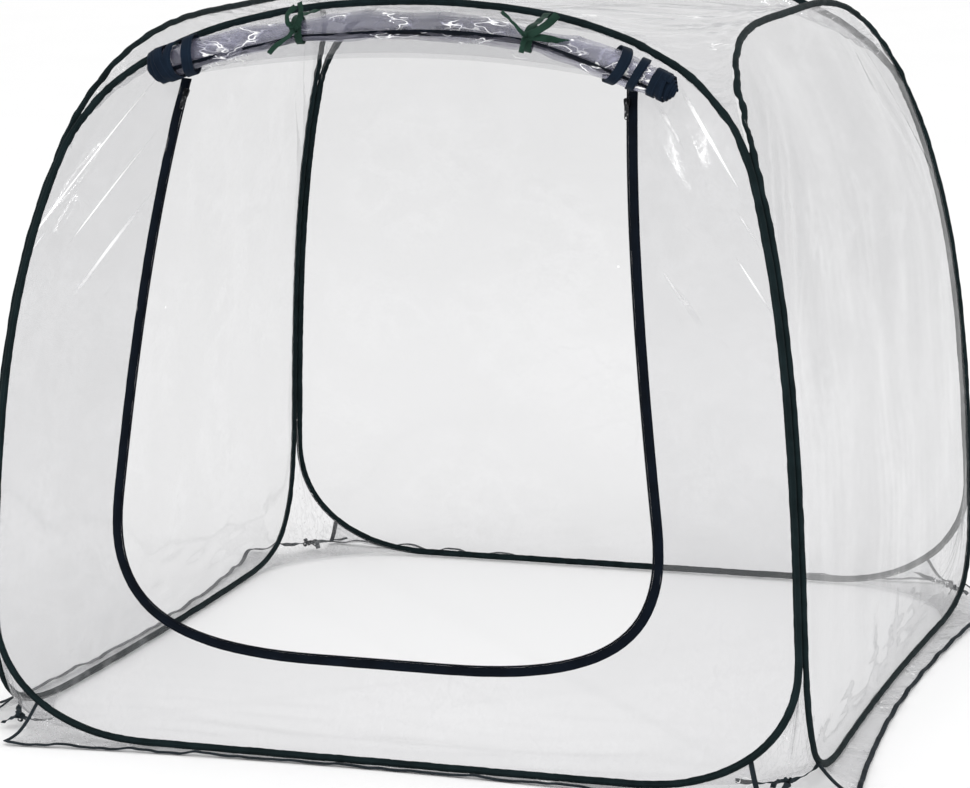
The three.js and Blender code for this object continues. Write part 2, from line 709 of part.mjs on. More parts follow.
greenhouse.add(roofFilm());
greenhouse.add(doorTape(), doorCoil(), doorFilm(), doorRoll(), doorTie(0), doorTie(1));
for (const [name, span] of Object.entries(WRAPS)) {
  greenhouse.add(edgeWrap(name, span));
}

for (const [name, sign] of [["left", -1], ["right", 1]]) {
  const frame = sliderFrame(sign);
  frame.add(piece(`zip_slider_${name}`, sliderBody(), "slider"));
  const tab = piece(`zip_pull_${name}`, pullTab(), "slider");
  tab.position.set(0, -PULL.out, 0);
  frame.add(tab);
  greenhouse.add(frame);
}

export default greenhouse;
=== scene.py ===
"""Looks of a mini pop up greenhouse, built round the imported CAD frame.

Metres, Z up. The doorway faces -Y and the origin is on the ground under the middle.
Walls are numbered 0 front, 1 right, 2 back, 3 left.
Each is wall 0 turned about Z by a quarter turn more.
"""

import math

import bpy
import numpy as np
from mathutils import Matrix, Vector


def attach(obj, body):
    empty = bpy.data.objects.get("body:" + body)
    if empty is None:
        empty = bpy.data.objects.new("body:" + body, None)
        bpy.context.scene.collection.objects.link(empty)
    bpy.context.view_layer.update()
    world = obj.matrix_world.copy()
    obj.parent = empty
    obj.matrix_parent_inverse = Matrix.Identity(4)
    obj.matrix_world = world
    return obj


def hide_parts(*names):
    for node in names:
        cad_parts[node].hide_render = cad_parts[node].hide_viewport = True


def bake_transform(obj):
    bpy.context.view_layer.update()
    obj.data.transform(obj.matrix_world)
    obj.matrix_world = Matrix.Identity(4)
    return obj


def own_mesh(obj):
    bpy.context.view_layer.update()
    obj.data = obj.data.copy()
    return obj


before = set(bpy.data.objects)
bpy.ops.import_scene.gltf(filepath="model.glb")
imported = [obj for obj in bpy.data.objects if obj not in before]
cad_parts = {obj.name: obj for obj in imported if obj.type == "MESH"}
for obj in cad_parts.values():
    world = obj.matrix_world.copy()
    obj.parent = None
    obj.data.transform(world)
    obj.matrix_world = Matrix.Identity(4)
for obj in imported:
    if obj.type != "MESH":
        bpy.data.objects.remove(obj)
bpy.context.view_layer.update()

# ---------------------------------------------------------------- dimensions

HALF_WIDTH = 0.630
LEAN_SLOPE = 0.035
LEAN_CURL = 0.122
SIDE_BOW = 0.017
BOW_FADE = 0.208
SLEEVE_HALF = 0.0065
SEAM_INSET = 0.0068
TUBE_HALF_WIDTH = 0.0047
TUBE_HALF_DEPTH = 0.0046
FRONT_HOOP = dict(
    height=1.090, leaves=0.864, shoulder=0.189, crown=0.214, corner=0.201, flat=0.375, turn=0.58
)
SIDE_HOOP = dict(
    height=1.048, leaves=0.893, shoulder=0.183, crown=0.227, corner=0.272, flat=0.370, turn=0.79
)
HOOPS = [FRONT_HOOP, SIDE_HOOP, FRONT_HOOP, SIDE_HOOP]
WALLS = ["front", "right", "back", "left"]
CORNERS = ["front_right", "back_right", "back_left", "front_left"]
SEAM_BOTTOM = 0.272
SEAM_TOP = 0.858

DOOR = dict(bottom=0.150, flat=0.100, low=0.375, low_half=0.4125, top=0.978, top_half=0.342, turn=0.74)
HEAD_MIDDLE = 1.012
HEAD_DROP = 0.030
TAPE_WIDTH = 0.015
COIL_WIDTH = 0.003
COIL_INSET = TAPE_WIDTH / 2 + 0.0004 + COIL_WIDTH / 2

ROLL = dict(middle=1.061, droop=0.077, reach=0.400, power=2.2, standoff=0.048, left=-0.367, right=0.404)
TIE_AT = [-0.156, 0.194]

SKIRT_HALF = 0.545
SKIRT_FLARE = 0.030
SKIRT_MIDDLE = [0.0088, 0.032, 0.020, 0.026]
SKIRT_END = [0.046, 0.060, 0.046, 0.060]
SKIRT_HINGE = 0.638

# ---------------------------------------------------------------- camera

CAMERA_PLACE = Vector((1.6861, -5.1642, 1.4688))
CAMERA_YAW = math.radians(18.5513)
CAMERA_PITCH = math.radians(-10.7784)
CAMERA_ROLL = math.radians(-0.6888)
CAMERA_LENS = 128.8
CAMERA_SENSOR = 36.0


def make_camera():
    forward = Vector(
        (
            -math.sin(CAMERA_YAW) * math.cos(CAMERA_PITCH),
            math.cos(CAMERA_YAW) * math.cos(CAMERA_PITCH),
            math.sin(CAMERA_PITCH),
        )
    )
    level = Vector((math.cos(CAMERA_YAW), math.sin(CAMERA_YAW), 0))
    upright = level.cross(forward)
    right = math.cos(CAMERA_ROLL) * level + math.sin(CAMERA_ROLL) * upright
    up = math.cos(CAMERA_ROLL) * upright - math.sin(CAMERA_ROLL) * level
    data = bpy.data.cameras.new("camera")
    data.lens = CAMERA_LENS
    data.sensor_width = CAMERA_SENSOR
    data.clip_end = 200
    camera = bpy.data.objects.new("camera", data)
    bpy.context.scene.collection.objects.link(camera)
    turned = Matrix((right, up, -forward)).transposed().to_4x4()
    camera.matrix_world = Matrix.Translation(CAMERA_PLACE) @ turned
    bpy.context.scene.camera = camera


# ---------------------------------------------------------------- the walls' surfaces


def lean(z):
    return LEAN_SLOPE * z + LEAN_CURL * z**4


def lean_rate(z):
    return LEAN_SLOPE + 4 * LEAN_CURL * z**3


def turned(wall, points):
    """Points of wall 0's frame turned into the place of another wall."""
    c, s = [(1, 0), (0, 1), (-1, 0), (0, -1)][wall]
    x, y, z = np.moveaxis(np.asarray(points, float), -1, 0)
    return np.stack([c * x - s * y, s * x + c * y, z], -1)


def wall_normal(wall, z):
    z = np.asarray(z, float)
    n = np.stack([np.zeros_like(z), -np.ones_like(z), lean_rate(z)], -1)
    return turned(wall, n / np.linalg.norm(n, axis=-1, keepdims=True))


def on_wall(wall, u, z, out=0.0):
    """Points on a wall at u along it and z up, moved out from its surface."""
    u, z, out = np.broadcast_arrays(np.asarray(u, float), np.asarray(z, float), np.asarray(out, float))
    bow = SIDE_BOW * np.cos(np.pi * u / (2 * HALF_WIDTH)) * np.exp(-z / BOW_FADE) * (wall % 2)
    flat = turned(wall, np.stack([u, bow - HALF_WIDTH + lean(z), z], -1))
    return flat + wall_normal(wall, z) * out[..., None]


def bezier(a, b, c, d, count):
    """Points along a cubic curve, without its first point."""
    a, b, c, d = (np.asarray(p, float) for p in (a, b, c, d))
    t = np.linspace(0, 1, count + 1)[1:, None]
    return a * (1 - t) ** 3 + 3 * b * t * (1 - t) ** 2 + 3 * c * t**2 * (1 - t) + d * t**3


def spaced(points, count, closed=False):
    """A row of points laid again at even distances."""
    points = np.asarray(points, float)
    if closed:
        points = np.vstack([points, points[:1]])
    length = np.concatenate([[0], np.cumsum(np.linalg.norm(np.diff(points, axis=0), axis=1))])
    at = np.linspace(0, length[-1], count + 1 if closed else count)
    if closed:
        at = at[:-1]
    return np.stack([np.interp(at, length, points[:, k]) for k in range(points.shape[1])], -1)


def half_hoop(hoop):
    """Half of a hoop's centre line as (u, z), from the middle of the bottom to the middle of the top."""

    def side(z):
        return HALF_WIDTH - lean(z) - SEAM_INSET

    def slant(z):
        d = np.array([-lean_rate(z), 1.0])
        return d / np.linalg.norm(d)

    base, corner, leaves, flat = SLEEVE_HALF, hoop["corner"], hoop["leaves"], hoop["flat"]
    low, high = slant(corner), slant(leaves)
    low_end = np.array([side(corner), corner])
    high_end = np.array([side(leaves), leaves])
    z = np.linspace(corner, leaves, 24)[1:]
    return np.vstack(
        [
            [[0.0, base], [flat, base]],
            bezier(
                (flat, base),
                (flat + (side(0) - flat) * hoop["turn"], base),
                low_end - low * corner * hoop["turn"],
                low_end,
                24,
            ),
            np.stack([side(z), z], -1),
            bezier(
                high_end,
                high_end + high * hoop["shoulder"],
                (hoop["crown"], hoop["height"]),
                (0, hoop["height"]),
                30,
            ),
        ]
    )


def whole_hoop(hoop, count):
    """The hoop's closed centre line, anticlockwise as seen from outside, at even distances."""
    half = half_hoop(hoop)
    mirrored = (half * [-1, 1])[::-1][1:-1]
    return spaced(np.vstack([half, mirrored]), count, closed=True)


def shifted(path, distance, closed=True):
    """A path in the plane moved sideways, to its right for a positive distance."""
    if closed:
        ahead = np.roll(path, -1, 0) - np.roll(path, 1, 0)
    else:
        ahead = np.gradient(path, axis=0)
    ahead = ahead / np.linalg.norm(ahead, axis=1, keepdims=True)
    return path + np.stack([ahead[:, 1], -ahead[:, 0]], -1) * np.reshape(distance, (-1, 1))


# ---------------------------------------------------------------- smooth random fields


def waves(points, size, seed, count=14):
    """A smooth random field, from about -1 to 1, whose bumps are about size across."""
    points = np.asarray(points, float)
    size = np.broadcast_to(np.asarray(size, float), (points.shape[-1],))
    rng = np.random.default_rng(seed)
    total = np.zeros(points.shape[:-1])
    for _ in range(count):
        direction = rng.normal(size=points.shape[-1])
        direction *= rng.uniform(0.5, 1.4) / np.linalg.norm(direction)
        total += np.sin(points @ (direction * np.pi / size) + rng.uniform(0, 2 * np.pi))
    return total / math.sqrt(count / 2) * 0.6


# ---------------------------------------------------------------- meshes


def make_object(name, vertices, faces, material, uv=None):
    mesh = bpy.data.meshes.new(name)
    mesh.from_pydata(np.asarray(vertices, float).tolist(), [], faces)
    mesh.polygons.foreach_set("use_smooth", [True] * len(mesh.polygons))
    if uv is not None:
        layer = mesh.uv_layers.new(name="lengths")
        corners = np.zeros(len(mesh.loops), np.int32)
        mesh.loops.foreach_get("vertex_index", corners)
        layer.data.foreach_set("uv", np.asarray(uv, np.float32)[corners].ravel())
    mesh.materials.append(material)
    made = bpy.data.objects.new(name, mesh)
    bpy.context.scene.collection.objects.link(made)
    return made


def grid_faces(rows, columns):
    i, j = np.meshgrid(np.arange(rows - 1), np.arange(columns - 1), indexing="ij")
    first = (i * columns + j).ravel()
    return np.stack([first, first + 1, first + columns + 1, first + columns], -1).tolist()


def grid_object(name, grid, material, uv):
    """A surface through a grid of points."""
    rows, columns = grid.shape[:2]
    return make_object(name, grid.reshape(-1, 3), grid_faces(rows, columns), material, uv.reshape(-1, 2))


def joined(name, parts):
    """Several objects made into one mesh."""
    bpy.ops.object.select_all(action="DESELECT")
    for part in parts:
        part.select_set(True)
    bpy.context.view_layer.objects.active = parts[0]
    bpy.ops.object.join()
    parts[0].name = name
    parts[0].data.name = name
    return parts[0]


def unit(v):
    return v / np.linalg.norm(v, axis=-1, keepdims=True)


def lengths_along(path):
    return np.concatenate([[0], np.cumsum(np.linalg.norm(np.diff(path, axis=0), axis=1))])


def sweep(name, path, normal, section, material, closed=False):
    """A bar along a path.

    The section is a ring of (across, out), the same or one for each point of the path.
    """
    path = np.asarray(path, float)
    section = np.broadcast_to(section, (len(path), *np.shape(section)[-2:]))
    normal = np.broadcast_to(normal, path.shape)
    if closed:
        ahead = np.roll(path, -1, 0) - np.roll(path, 1, 0)
        path, ahead, normal, section = (np.concatenate([a, a[:1]]) for a in (path, ahead, normal, section))
    else:
        ahead = np.gradient(path, axis=0)
    ahead = unit(ahead)
    across = unit(np.cross(ahead, normal))
    out = np.cross(across, ahead)
    section = np.concatenate([section, section[:, :1]], 1)
    grid = path[:, None] + across[:, None] * section[..., :1] + out[:, None] * section[..., 1:]
    uv = np.stack(np.broadcast_arrays(lengths_along(path)[:, None], lengths_along(section[0])[None]), -1)
    rows, columns = grid.shape[:2]
    faces = grid_faces(rows, columns)
    if not closed:
        faces.append(list(range(columns - 1))[::-1])
        faces.append([(rows - 1) * columns + j for j in range(columns - 1)])
    return make_object(name, grid.reshape(-1, 3), faces, material, uv.reshape(-1, 2))


def ellipse(half_width, half_depth, count):
    a = np.linspace(0, 2 * np.pi, count, endpoint=False)
    return np.stack([half_width * np.cos(a), half_depth * np.sin(a)], -1)


def slab(half_width, half_depth):
    """A flat section with softly rounded edges."""
    w, d = half_width, half_depth
    return np.array([(w, 0), (w - d, d), (0, d), (d - w, d), (-w, 0), (d - w, -d), (0, -d), (w - d, -d)])


def curve_through(points, count):
    """A smooth path through a few points, at even distances."""
    points = np.asarray(points, float)
    padded = np.vstack([2 * points[0] - points[1], points, 2 * points[-1] - points[-2]])
    t = np.linspace(0, 1, 12, endpoint=False)[:, None]
    path = []
    for a, b, c, d in zip(padded, padded[1:], padded[2:], padded[3:]):
        path.append(
            0.5
            * (2 * b + (c - a) * t + (2 * a - 5 * b + 4 * c - d) * t**2 + (3 * b - a - 3 * c + d) * t**3)
        )
    return spaced(np.vstack([*path, points[-1:]]), count)


# ---------------------------------------------------------------- materials


class Recipe:
    """A material's node tree, built one node at a time."""

    def __init__(self, name):
        self.material = bpy.data.materials.new(name)
        self.material.use_nodes = True
        self.tree = self.material.node_tree
        self.tree.nodes.clear()
        self.place = self.add("ShaderNodeTexCoord")

    def add(self, kind, inputs=None, **settings):
        node = self.tree.nodes.new(kind)
        for key, value in settings.items():
            setattr(node, key, value)
        for key, value in (inputs or {}).items():
            if isinstance(value, bpy.types.NodeSocket):
                self.tree.links.new(value, node.inputs[key])
            else:
                node.inputs[key].default_value = value
        return node

    def math(self, operation, a, b=0.0, clamp=False):
        return self.add("ShaderNodeMath", {0: a, 1: b}, operation=operation, use_clamp=clamp).outputs[0]

    def noise(self, scale, detail=4.0, stretch=(1, 1, 1), spin=(0, 0, 0), source="Object"):
        """Noise, stretched into streaks where the three scales differ."""
        vector = self.add(
            "ShaderNodeMapping", {"Vector": self.place.outputs[source], "Scale": stretch, "Rotation": spin}
        ).outputs[0]
        inputs = {"Vector": vector, "Scale": scale, "Detail": detail}
        return self.add("ShaderNodeTexNoise", inputs).outputs["Fac"]

    def ramp(self, value, *stops):
        """A colour or grey level that changes along value. Each stop is (place, grey or colour)."""
        node = self.add("ShaderNodeValToRGB", {0: value})
        band = node.color_ramp
        while len(band.elements) < len(stops):
            band.elements.new(0.5)
        for element, (place, colour) in zip(band.elements, stops):
            element.position = place
            element.color = (*colour, 1) if hasattr(colour, "__len__") else (colour, colour, colour, 1)
        return node.outputs["Color"]

    def bump(self, height, distance, strength=1.0, normal=None):
        inputs = {"Height": height, "Distance": distance, "Strength": strength}
        if normal:
            inputs["Normal"] = normal
        return self.add("ShaderNodeBump", inputs).outputs[0]

    def finish(self, shader):
        self.add("ShaderNodeOutputMaterial", {"Surface": shader})
        return self.material


def woven(name, dark, light, pitch, stitch_at=None, rough=0.85):
    """Fabric with a plain weave of the given pitch along the UV lengths, with a stitched line if asked."""
    r = Recipe(name)
    where = r.add("ShaderNodeSeparateXYZ", {0: r.place.outputs["UV"]})
    along, around = where.outputs[0], where.outputs[1]
    warp = r.math("SINE", r.math("MULTIPLY", along, 2 * math.pi / pitch))
    weft = r.math("SINE", r.math("MULTIPLY", around, 2 * math.pi / pitch))
    weave = r.math("ADD", r.math("MULTIPLY", r.math("MULTIPLY", warp, weft), 0.5), 0.5)
    shade = r.math("ADD", r.math("MULTIPLY", weave, 0.3), r.math("MULTIPLY", r.noise(38, 6), 0.9), clamp=True)
    wear = r.noise(7, 3)
    shade = r.math("SUBTRACT", r.math("ADD", shade, r.math("MULTIPLY", wear, 0.5)), 0.38, clamp=True)
    height = r.math("ADD", r.math("MULTIPLY", weave, 0.25), r.math("MULTIPLY", r.noise(160, 3), 0.5))
    if stitch_at is not None:
        dash = r.math("LESS_THAN", r.math("FRACT", r.math("DIVIDE", along, 0.0034)), 0.68)
        line = r.math("LESS_THAN", r.math("ABSOLUTE", r.math("SUBTRACT", around, stitch_at)), 0.00045)
        stitch = r.math("MULTIPLY", dash, line)
        shade = r.math("ADD", shade, r.math("MULTIPLY", stitch, 0.55), clamp=True)
        height = r.math("ADD", height, r.math("MULTIPLY", stitch, 1.2))
    colour = r.ramp(shade, (0.0, dark), (1.0, light))
    roughness = r.math("ADD", r.math("MULTIPLY", wear, 0.2), rough - 0.1)
    inputs = {
        "Base Color": colour,
        "Roughness": roughness,
        "Normal": r.bump(height, 0.0004, 0.7),
        "Sheen Weight": 0.04,
        "Sheen Roughness": 0.4,
        "Specular IOR Level": 0.08,
    }
    return r.finish(r.add("ShaderNodeBsdfPrincipled", inputs).outputs[0])


def painted_shoulder_highlights(r):
    """Painted highlights: long white streaks that run down and outwards over a wall's upper corners, mixed
    into the film's colour.
    """
    where = r.add("ShaderNodeSeparateXYZ", {0: r.place.outputs["Object"]})
    side, up = r.math("ABSOLUTE", where.outputs[0]), where.outputs[2]
    along = r.math("SUBTRACT", r.math("MULTIPLY", side, 0.60), r.math("MULTIPLY", up, 0.80))
    across = r.math("ADD", r.math("MULTIPLY", side, 0.80), r.math("MULTIPLY", up, 0.60))
    far = r.math("MULTIPLY", r.math("SIGN", where.outputs[0]), 3.0)
    laid = r.add("ShaderNodeCombineXYZ", {0: r.math("MULTIPLY", along, 0.022), 1: across, 2: far}).outputs[0]
    lines = r.add("ShaderNodeTexNoise", {"Vector": laid, "Scale": 110, "Detail": 0.6}).outputs["Fac"]
    lines = r.ramp(lines, (0.655, 0.0), (0.69, 1.0))
    outer = r.ramp(side, (0.36, 0.0), (0.46, 1.0))
    high = r.ramp(up, (0.66, 0.0), (0.74, 1.0), (0.94, 1.0), (0.99, 0.0))
    return r.math("MULTIPLY", lines, r.math("MULTIPLY", outer, high))


def clear(
    name, haze, crease, grain, streaks, tint=(0.17, 0.17, 0.175), light=(0.42, 0.42, 0.43), glints=None
):
    """Clear film: mostly see-through, milky in patches and at a glancing view, whiter on its creases, with
    painted highlights: white streaks mixed into its colour.

    haze is the share that isn't see-through, crease what a crease adds to it, grain the creases per metre,
    and streaks the stretch of the creases along X, Y and Z, below 1 where they run along that axis.
    glints is "shoulders" for painted highlights as long white streaks at a wall's upper corners, or how
    common short painted highlights on the creases are; without glints the painted highlights sit on the peaks
    of the fine creases.
    """
    r = Recipe(name)
    patches = r.noise(2.2, 3)
    fine = r.noise(grain, 5, streaks)
    line = r.ramp(fine, (0.44, 0.0), (0.495, 1.0), (0.505, 1.0), (0.56, 0.0))
    broad = r.ramp(r.noise(grain * 0.31, 3, streaks), (0.42, 0.0), (0.5, 1.0), (0.58, 0.0))
    where = r.ramp(r.noise(5, 2), (0.42, 0.0), (0.62, 1.0))
    creases = r.math("MULTIPLY", r.math("ADD", line, r.math("MULTIPLY", broad, 0.5)), where)
    glancing = r.add("ShaderNodeLayerWeight", {"Blend": 0.22}).outputs["Facing"]
    share = r.math("ADD", r.math("MULTIPLY", patches, haze * 0.5), haze * 0.75)
    share = r.math("ADD", share, r.math("MULTIPLY", creases, crease))
    share = r.math("ADD", share, r.math("MULTIPLY", glancing, 0.26), clamp=True)
    # Painted highlights: white streaks mixed into the colour and made opaque, in place of reflections of the
    # lamps on the creases.
    if glints == "shoulders":
        painted_highlight = painted_shoulder_highlights(r)
    elif glints:
        thin = r.ramp(
            r.noise(grain * 0.9, 2, streaks), (0.484, 0.0), (0.497, 1.0), (0.503, 1.0), (0.516, 0.0)
        )
        gathered = r.ramp(r.noise(grain * 0.3, 2), (0.62 - 0.16 * glints, 0.0), (0.70 - 0.16 * glints, 1.0))
        painted_highlight = r.math("MULTIPLY", thin, gathered)
    else:
        painted_highlight = r.ramp(fine, (0.86, 0.0), (0.90, 0.8))
    share = r.math("ADD", share, r.math("MULTIPLY", painted_highlight, 0.8), clamp=True)
    height = r.math("ADD", r.math("MULTIPLY", fine, 1.0), r.math("MULTIPLY", r.noise(grain * 4, 3), 0.15))
    tone = r.math("ADD", r.math("MULTIPLY", creases, 0.5), patches)
    # The painted highlights take the colour up to white.
    tone = r.math("ADD", r.math("MINIMUM", r.math("MULTIPLY", tone, 0.7), 0.6), painted_highlight)
    colour = r.ramp(tone, (0.25, tint), (0.63, light), (1.0, (1.0, 1.0, 1.0)))
    inputs = {
        "Base Color": colour,
        "Roughness": 0.09,
        "IOR": 1.5,
        "Specular IOR Level": 0.8,
        "Coat Weight": 0.7,
        "Coat Roughness": 0.05,
        "Normal": r.bump(height, 0.004, 0.45),
    }
    surface = r.add("ShaderNodeBsdfPrincipled", inputs).outputs[0]
    see_through = r.add("ShaderNodeBsdfTransparent", {"Color": (0.985, 0.985, 0.99, 1)}).outputs[0]
    return r.finish(r.add("ShaderNodeMixShader", {0: share, 1: see_through, 2: surface}).outputs[0])


def metal(name, colour, worn, rough, metallic):
    """Painted or bare metal with fine scratches and rubbed places."""
    r = Recipe(name)
    scratches = r.noise(900, 2, (1, 1, 0.08))
    rubbed = r.ramp(r.noise(120, 5), (0.55, 0.0), (0.68, 1.0))
    inputs = {
        "Base Color": r.ramp(r.math("MULTIPLY", rubbed, 0.8), (0.0, colour), (1.0, worn)),
        "Roughness": r.math("ADD", r.math("MULTIPLY", scratches, 0.22), rough - 0.1),
        "Metallic": metallic,
        "Normal": r.bump(scratches, 0.0001, 0.4),
    }
    return r.finish(r.add("ShaderNodeBsdfPrincipled", inputs).outputs[0])


SLEEVE_STITCH = 0.0215
LOOKS = {
    "sleeve": woven("sleeve_fabric", (0.001, 0.003, 0.0035), (0.012, 0.024, 0.027), 0.0011, SLEEVE_STITCH),
    "binding": woven("binding_fabric", (0.004, 0.006, 0.008), (0.026, 0.036, 0.044), 0.0011, 0.0072),
    "tape": woven("zip_tape", (0.0005, 0.001, 0.002), (0.004, 0.008, 0.016), 0.0009, 0.0042),
    "coil": woven("zip_coil", (0.001, 0.002, 0.004), (0.010, 0.012, 0.018), 0.0010),
    "wrap": woven("edge_tape", (0.002, 0.004, 0.009), (0.009, 0.019, 0.036), 0.0009, 0.0042),
    "ribbon": woven("tie_ribbon", (0.004, 0.015, 0.010), (0.024, 0.066, 0.046), 0.0010, rough=0.7),
    "corner": woven("corner_ribbon", (0.006, 0.010, 0.012), (0.040, 0.056, 0.066), 0.0010),
    "walls": clear("wall_film", 0.26, 0.03, 22, (0.6, 0.6, 0.8)),
    "front": clear("front_film", 0.17, 0.06, 34, (0.75, 0.75, 0.55), glints="shoulders"),
    "roof": clear("roof_film", 0.13, 0.30, 60, (0.22, 1.0, 1.0), glints=0.3),
    "skirt": clear("skirt_film", 0.20, 0.30, 55, (0.6, 0.9, 1.0), glints=0.6),
    "gusset": clear("gusset_film", 0.18, 0.20, 90, (1.0, 1.0, 0.25), glints=0.4),
    "strip": clear("strip_film", 0.19, 0.15, 50, (0.5, 1.0, 1.0), glints=0.4),
    "roll": clear(
        "roll_film", 0.24, 0.3, 42, (0.45, 1.0, 1.2), (0.07, 0.07, 0.11), (0.40, 0.40, 0.52), glints=1.0
    ),
    "steel": metal("hoop_steel", (0.32, 0.33, 0.34), (0.6, 0.6, 0.6), 0.35, 1.0),
    "slider": metal("slider_metal", (0.012, 0.013, 0.015), (0.30, 0.30, 0.31), 0.38, 0.7),
}

# ---------------------------------------------------------------- hoops and sleeves

HOOP_STEPS = 760


def flanged_section(width, depth):
    """The sleeve's tube with the sewn flange that holds the film on its inner side."""
    a = np.radians(np.linspace(-158, 158, 13))
    tube = np.stack([width * np.cos(a), depth * np.sin(a)], -1)
    tip = width + 0.0018
    return np.vstack([tube, [[-tip, 0.0006], [-tip, -0.0006]]])


def sleeve(wall):
    path = whole_hoop(HOOPS[wall], HOOP_STEPS)
    z = path[:, 1]
    centre = on_wall(wall, path[:, 0], z)
    shoulder = np.exp(-(((z - 0.94) / 0.10) ** 2)) * (np.abs(path[:, 0]) > 0.2)
    loose = 0.35 + 0.9 * shoulder
    if wall == 1:
        gathered = np.exp(-(((z - 0.93) / 0.06) ** 2)) * (path[:, 0] < 0)
        loose = loose + gathered
    else:
        gathered = np.zeros(len(path))
    puckers = waves(centre, 0.007, 10 + wall)
    sway = waves(centre, 0.035, 20 + wall)
    width = 1 + loose * 0.12 * puckers + 0.35 * gathered
    depth = 1 - loose * 0.10 * puckers + 0.15 * waves(centre, 0.011, 30 + wall) * loose
    centre = centre + wall_normal(wall, z) * (0.0009 * loose * waves(centre, 0.016, 40 + wall))[:, None]
    section = flanged_section(TUBE_HALF_WIDTH, TUBE_HALF_DEPTH)[None] * np.stack([width, depth], -1)[:, None]
    section = section + np.stack([0.0008 * loose * sway, np.zeros(len(path))], -1)[:, None]
    made = sweep(
        f"{WALLS[wall]}_sleeve_cover", centre, wall_normal(wall, z), section, LOOKS["sleeve"], closed=True
    )
    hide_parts(f"{WALLS[wall]}_sleeve")
    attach(made, f"{WALLS[wall]}_wall")


def hoop(wall):
    """The sprung steel strip in its sleeve, with the crimped ferrule that closes it."""
    path = whole_hoop(HOOPS[wall], 240)
    centre = on_wall(wall, path[:, 0], path[:, 1])
    normal = wall_normal(wall, path[:, 1])
    strip = sweep(
        f"{WALLS[wall]}_steel_strip", centre, normal, slab(0.0023, 0.0008), LOOKS["steel"], closed=True
    )
    reach = np.linspace(-0.024, 0.024, 25)
    crimp = 1 - 0.16 * np.exp(-(((np.abs(reach) - 0.012) / 0.003) ** 2))
    section = ellipse(0.0044, 0.0026, 14)[None] * crimp[:, None, None]
    middle = on_wall(wall, reach, np.full(25, SLEEVE_HALF))
    tube = sweep(f"{WALLS[wall]}_ferrule", middle, wall_normal(wall, np.zeros(25)), section, LOOKS["steel"])
    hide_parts(f"{WALLS[wall]}_hoop")
    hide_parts(f"{WALLS[wall]}_hoop_ferrule")
    for made in (strip, tube):
        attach(made, f"{WALLS[wall]}_wall")


# ---------------------------------------------------------------- doorway outline


def half_door():
    """Half of the zip tape's centre line, from the middle of the bottom up to its right end."""
    slope = (DOOR["low_half"] - DOOR["top_half"]) / (DOOR["top"] - DOOR["low"])
    rise = (DOOR["low"] - DOOR["bottom"]) * DOOR["turn"]
    z = np.linspace(DOOR["low"], DOOR["top"], 40)[1:]
    return np.vstack(
        [
            [[0, DOOR["bottom"]], [DOOR["flat"], DOOR["bottom"]]],
            bezier(
                (DOOR["flat"], DOOR["bottom"]),
                (DOOR["flat"] + (DOOR["low_half"] - DOOR["flat"]) * DOOR["turn"], DOOR["bottom"]),
                (DOOR["low_half"] + rise * slope, DOOR["low"] - rise),
                (DOOR["low_half"], DOOR["low"]),
                24,
            ),
            np.stack([DOOR["low_half"] - (z - DOOR["low"]) * slope, z], -1),
        ]
    )


def door_line(distance, count):
    """The tape's line from the top left round the bottom to the top right, moved outwards by distance."""
    half = half_door()
    line = spaced(np.vstack([(half * [-1, 1])[::-1][:-1], half]), count)
    return shifted(line, distance, closed=False)


def head_height(u):
    return HEAD_MIDDLE - HEAD_DROP * (np.asarray(u) / DOOR["top_half"]) ** 2


def doorway_outline():
    """The closed edge of the front film round the doorway."""
    sides = door_line(0.0025, 300)
    sides = sides[sides[:, 1] < head_height(sides[:, 0])]
    u = np.linspace(sides[-1, 0], sides[0, 0], 80)[1:-1]
    return np.vstack([sides, np.stack([u, head_height(u)], -1)])


# ---------------------------------------------------------------- wall films

MIDDLE = np.array([0.0, 0.55])


def ring_about_middle(loop, angles):
    """A closed outline as the points where it crosses rays from the middle of the wall."""
    away = loop - MIDDLE
    angle = np.arctan2(away[:, 1], away[:, 0])
    radius = np.linalg.norm(away, axis=1)
    order = np.argsort(angle)
    angle, radius = angle[order], radius[order]
    angle = np.concatenate([angle - 2 * np.pi, angle, angle + 2 * np.pi])
    radius = np.interp(angles, angle, np.tile(radius, 3))
    return MIDDLE + np.stack([np.cos(angles), np.sin(angles)], -1) * radius[:, None]


def film_relief(wall, place, to_edge):
    """How far a wall's film stands out of its surface.

    It has soft swells, creases at the shoulders and fine wrinkles low down.
    """
    u, z = place[..., 0], place[..., 1]
    held = np.clip(to_edge / 0.05, 0, 1)
    swell = 0.0045 * waves(place, 0.33, 50 + wall) + 0.0018 * waves(place, 0.11, 60 + wall)
    side = np.sign(u)
    along = np.stack([(side * u * 0.6 - z * 0.8) / 7, side * u * 0.8 + z * 0.6, side * 0.3], -1)
    shoulder = np.clip((np.abs(u) - 0.28) / 0.18, 0, 1) * np.clip((z - 0.62) / 0.22, 0, 1)
    creases = 0.0050 * (0.5 - np.abs(waves(along, 0.030, 70 + wall))) * shoulder
    low = np.exp(-(((z - 0.05) / 0.06) ** 2))
    wrinkles = 0.0022 * waves(place * [0.12, 1], 0.011, 80 + wall) * low
    upright = 0.0002 * waves(place * [1, 0.2], 0.03, 90 + wall)
    return (swell + creases + upright) * held + wrinkles * np.clip(to_edge / 0.02, 0, 1)


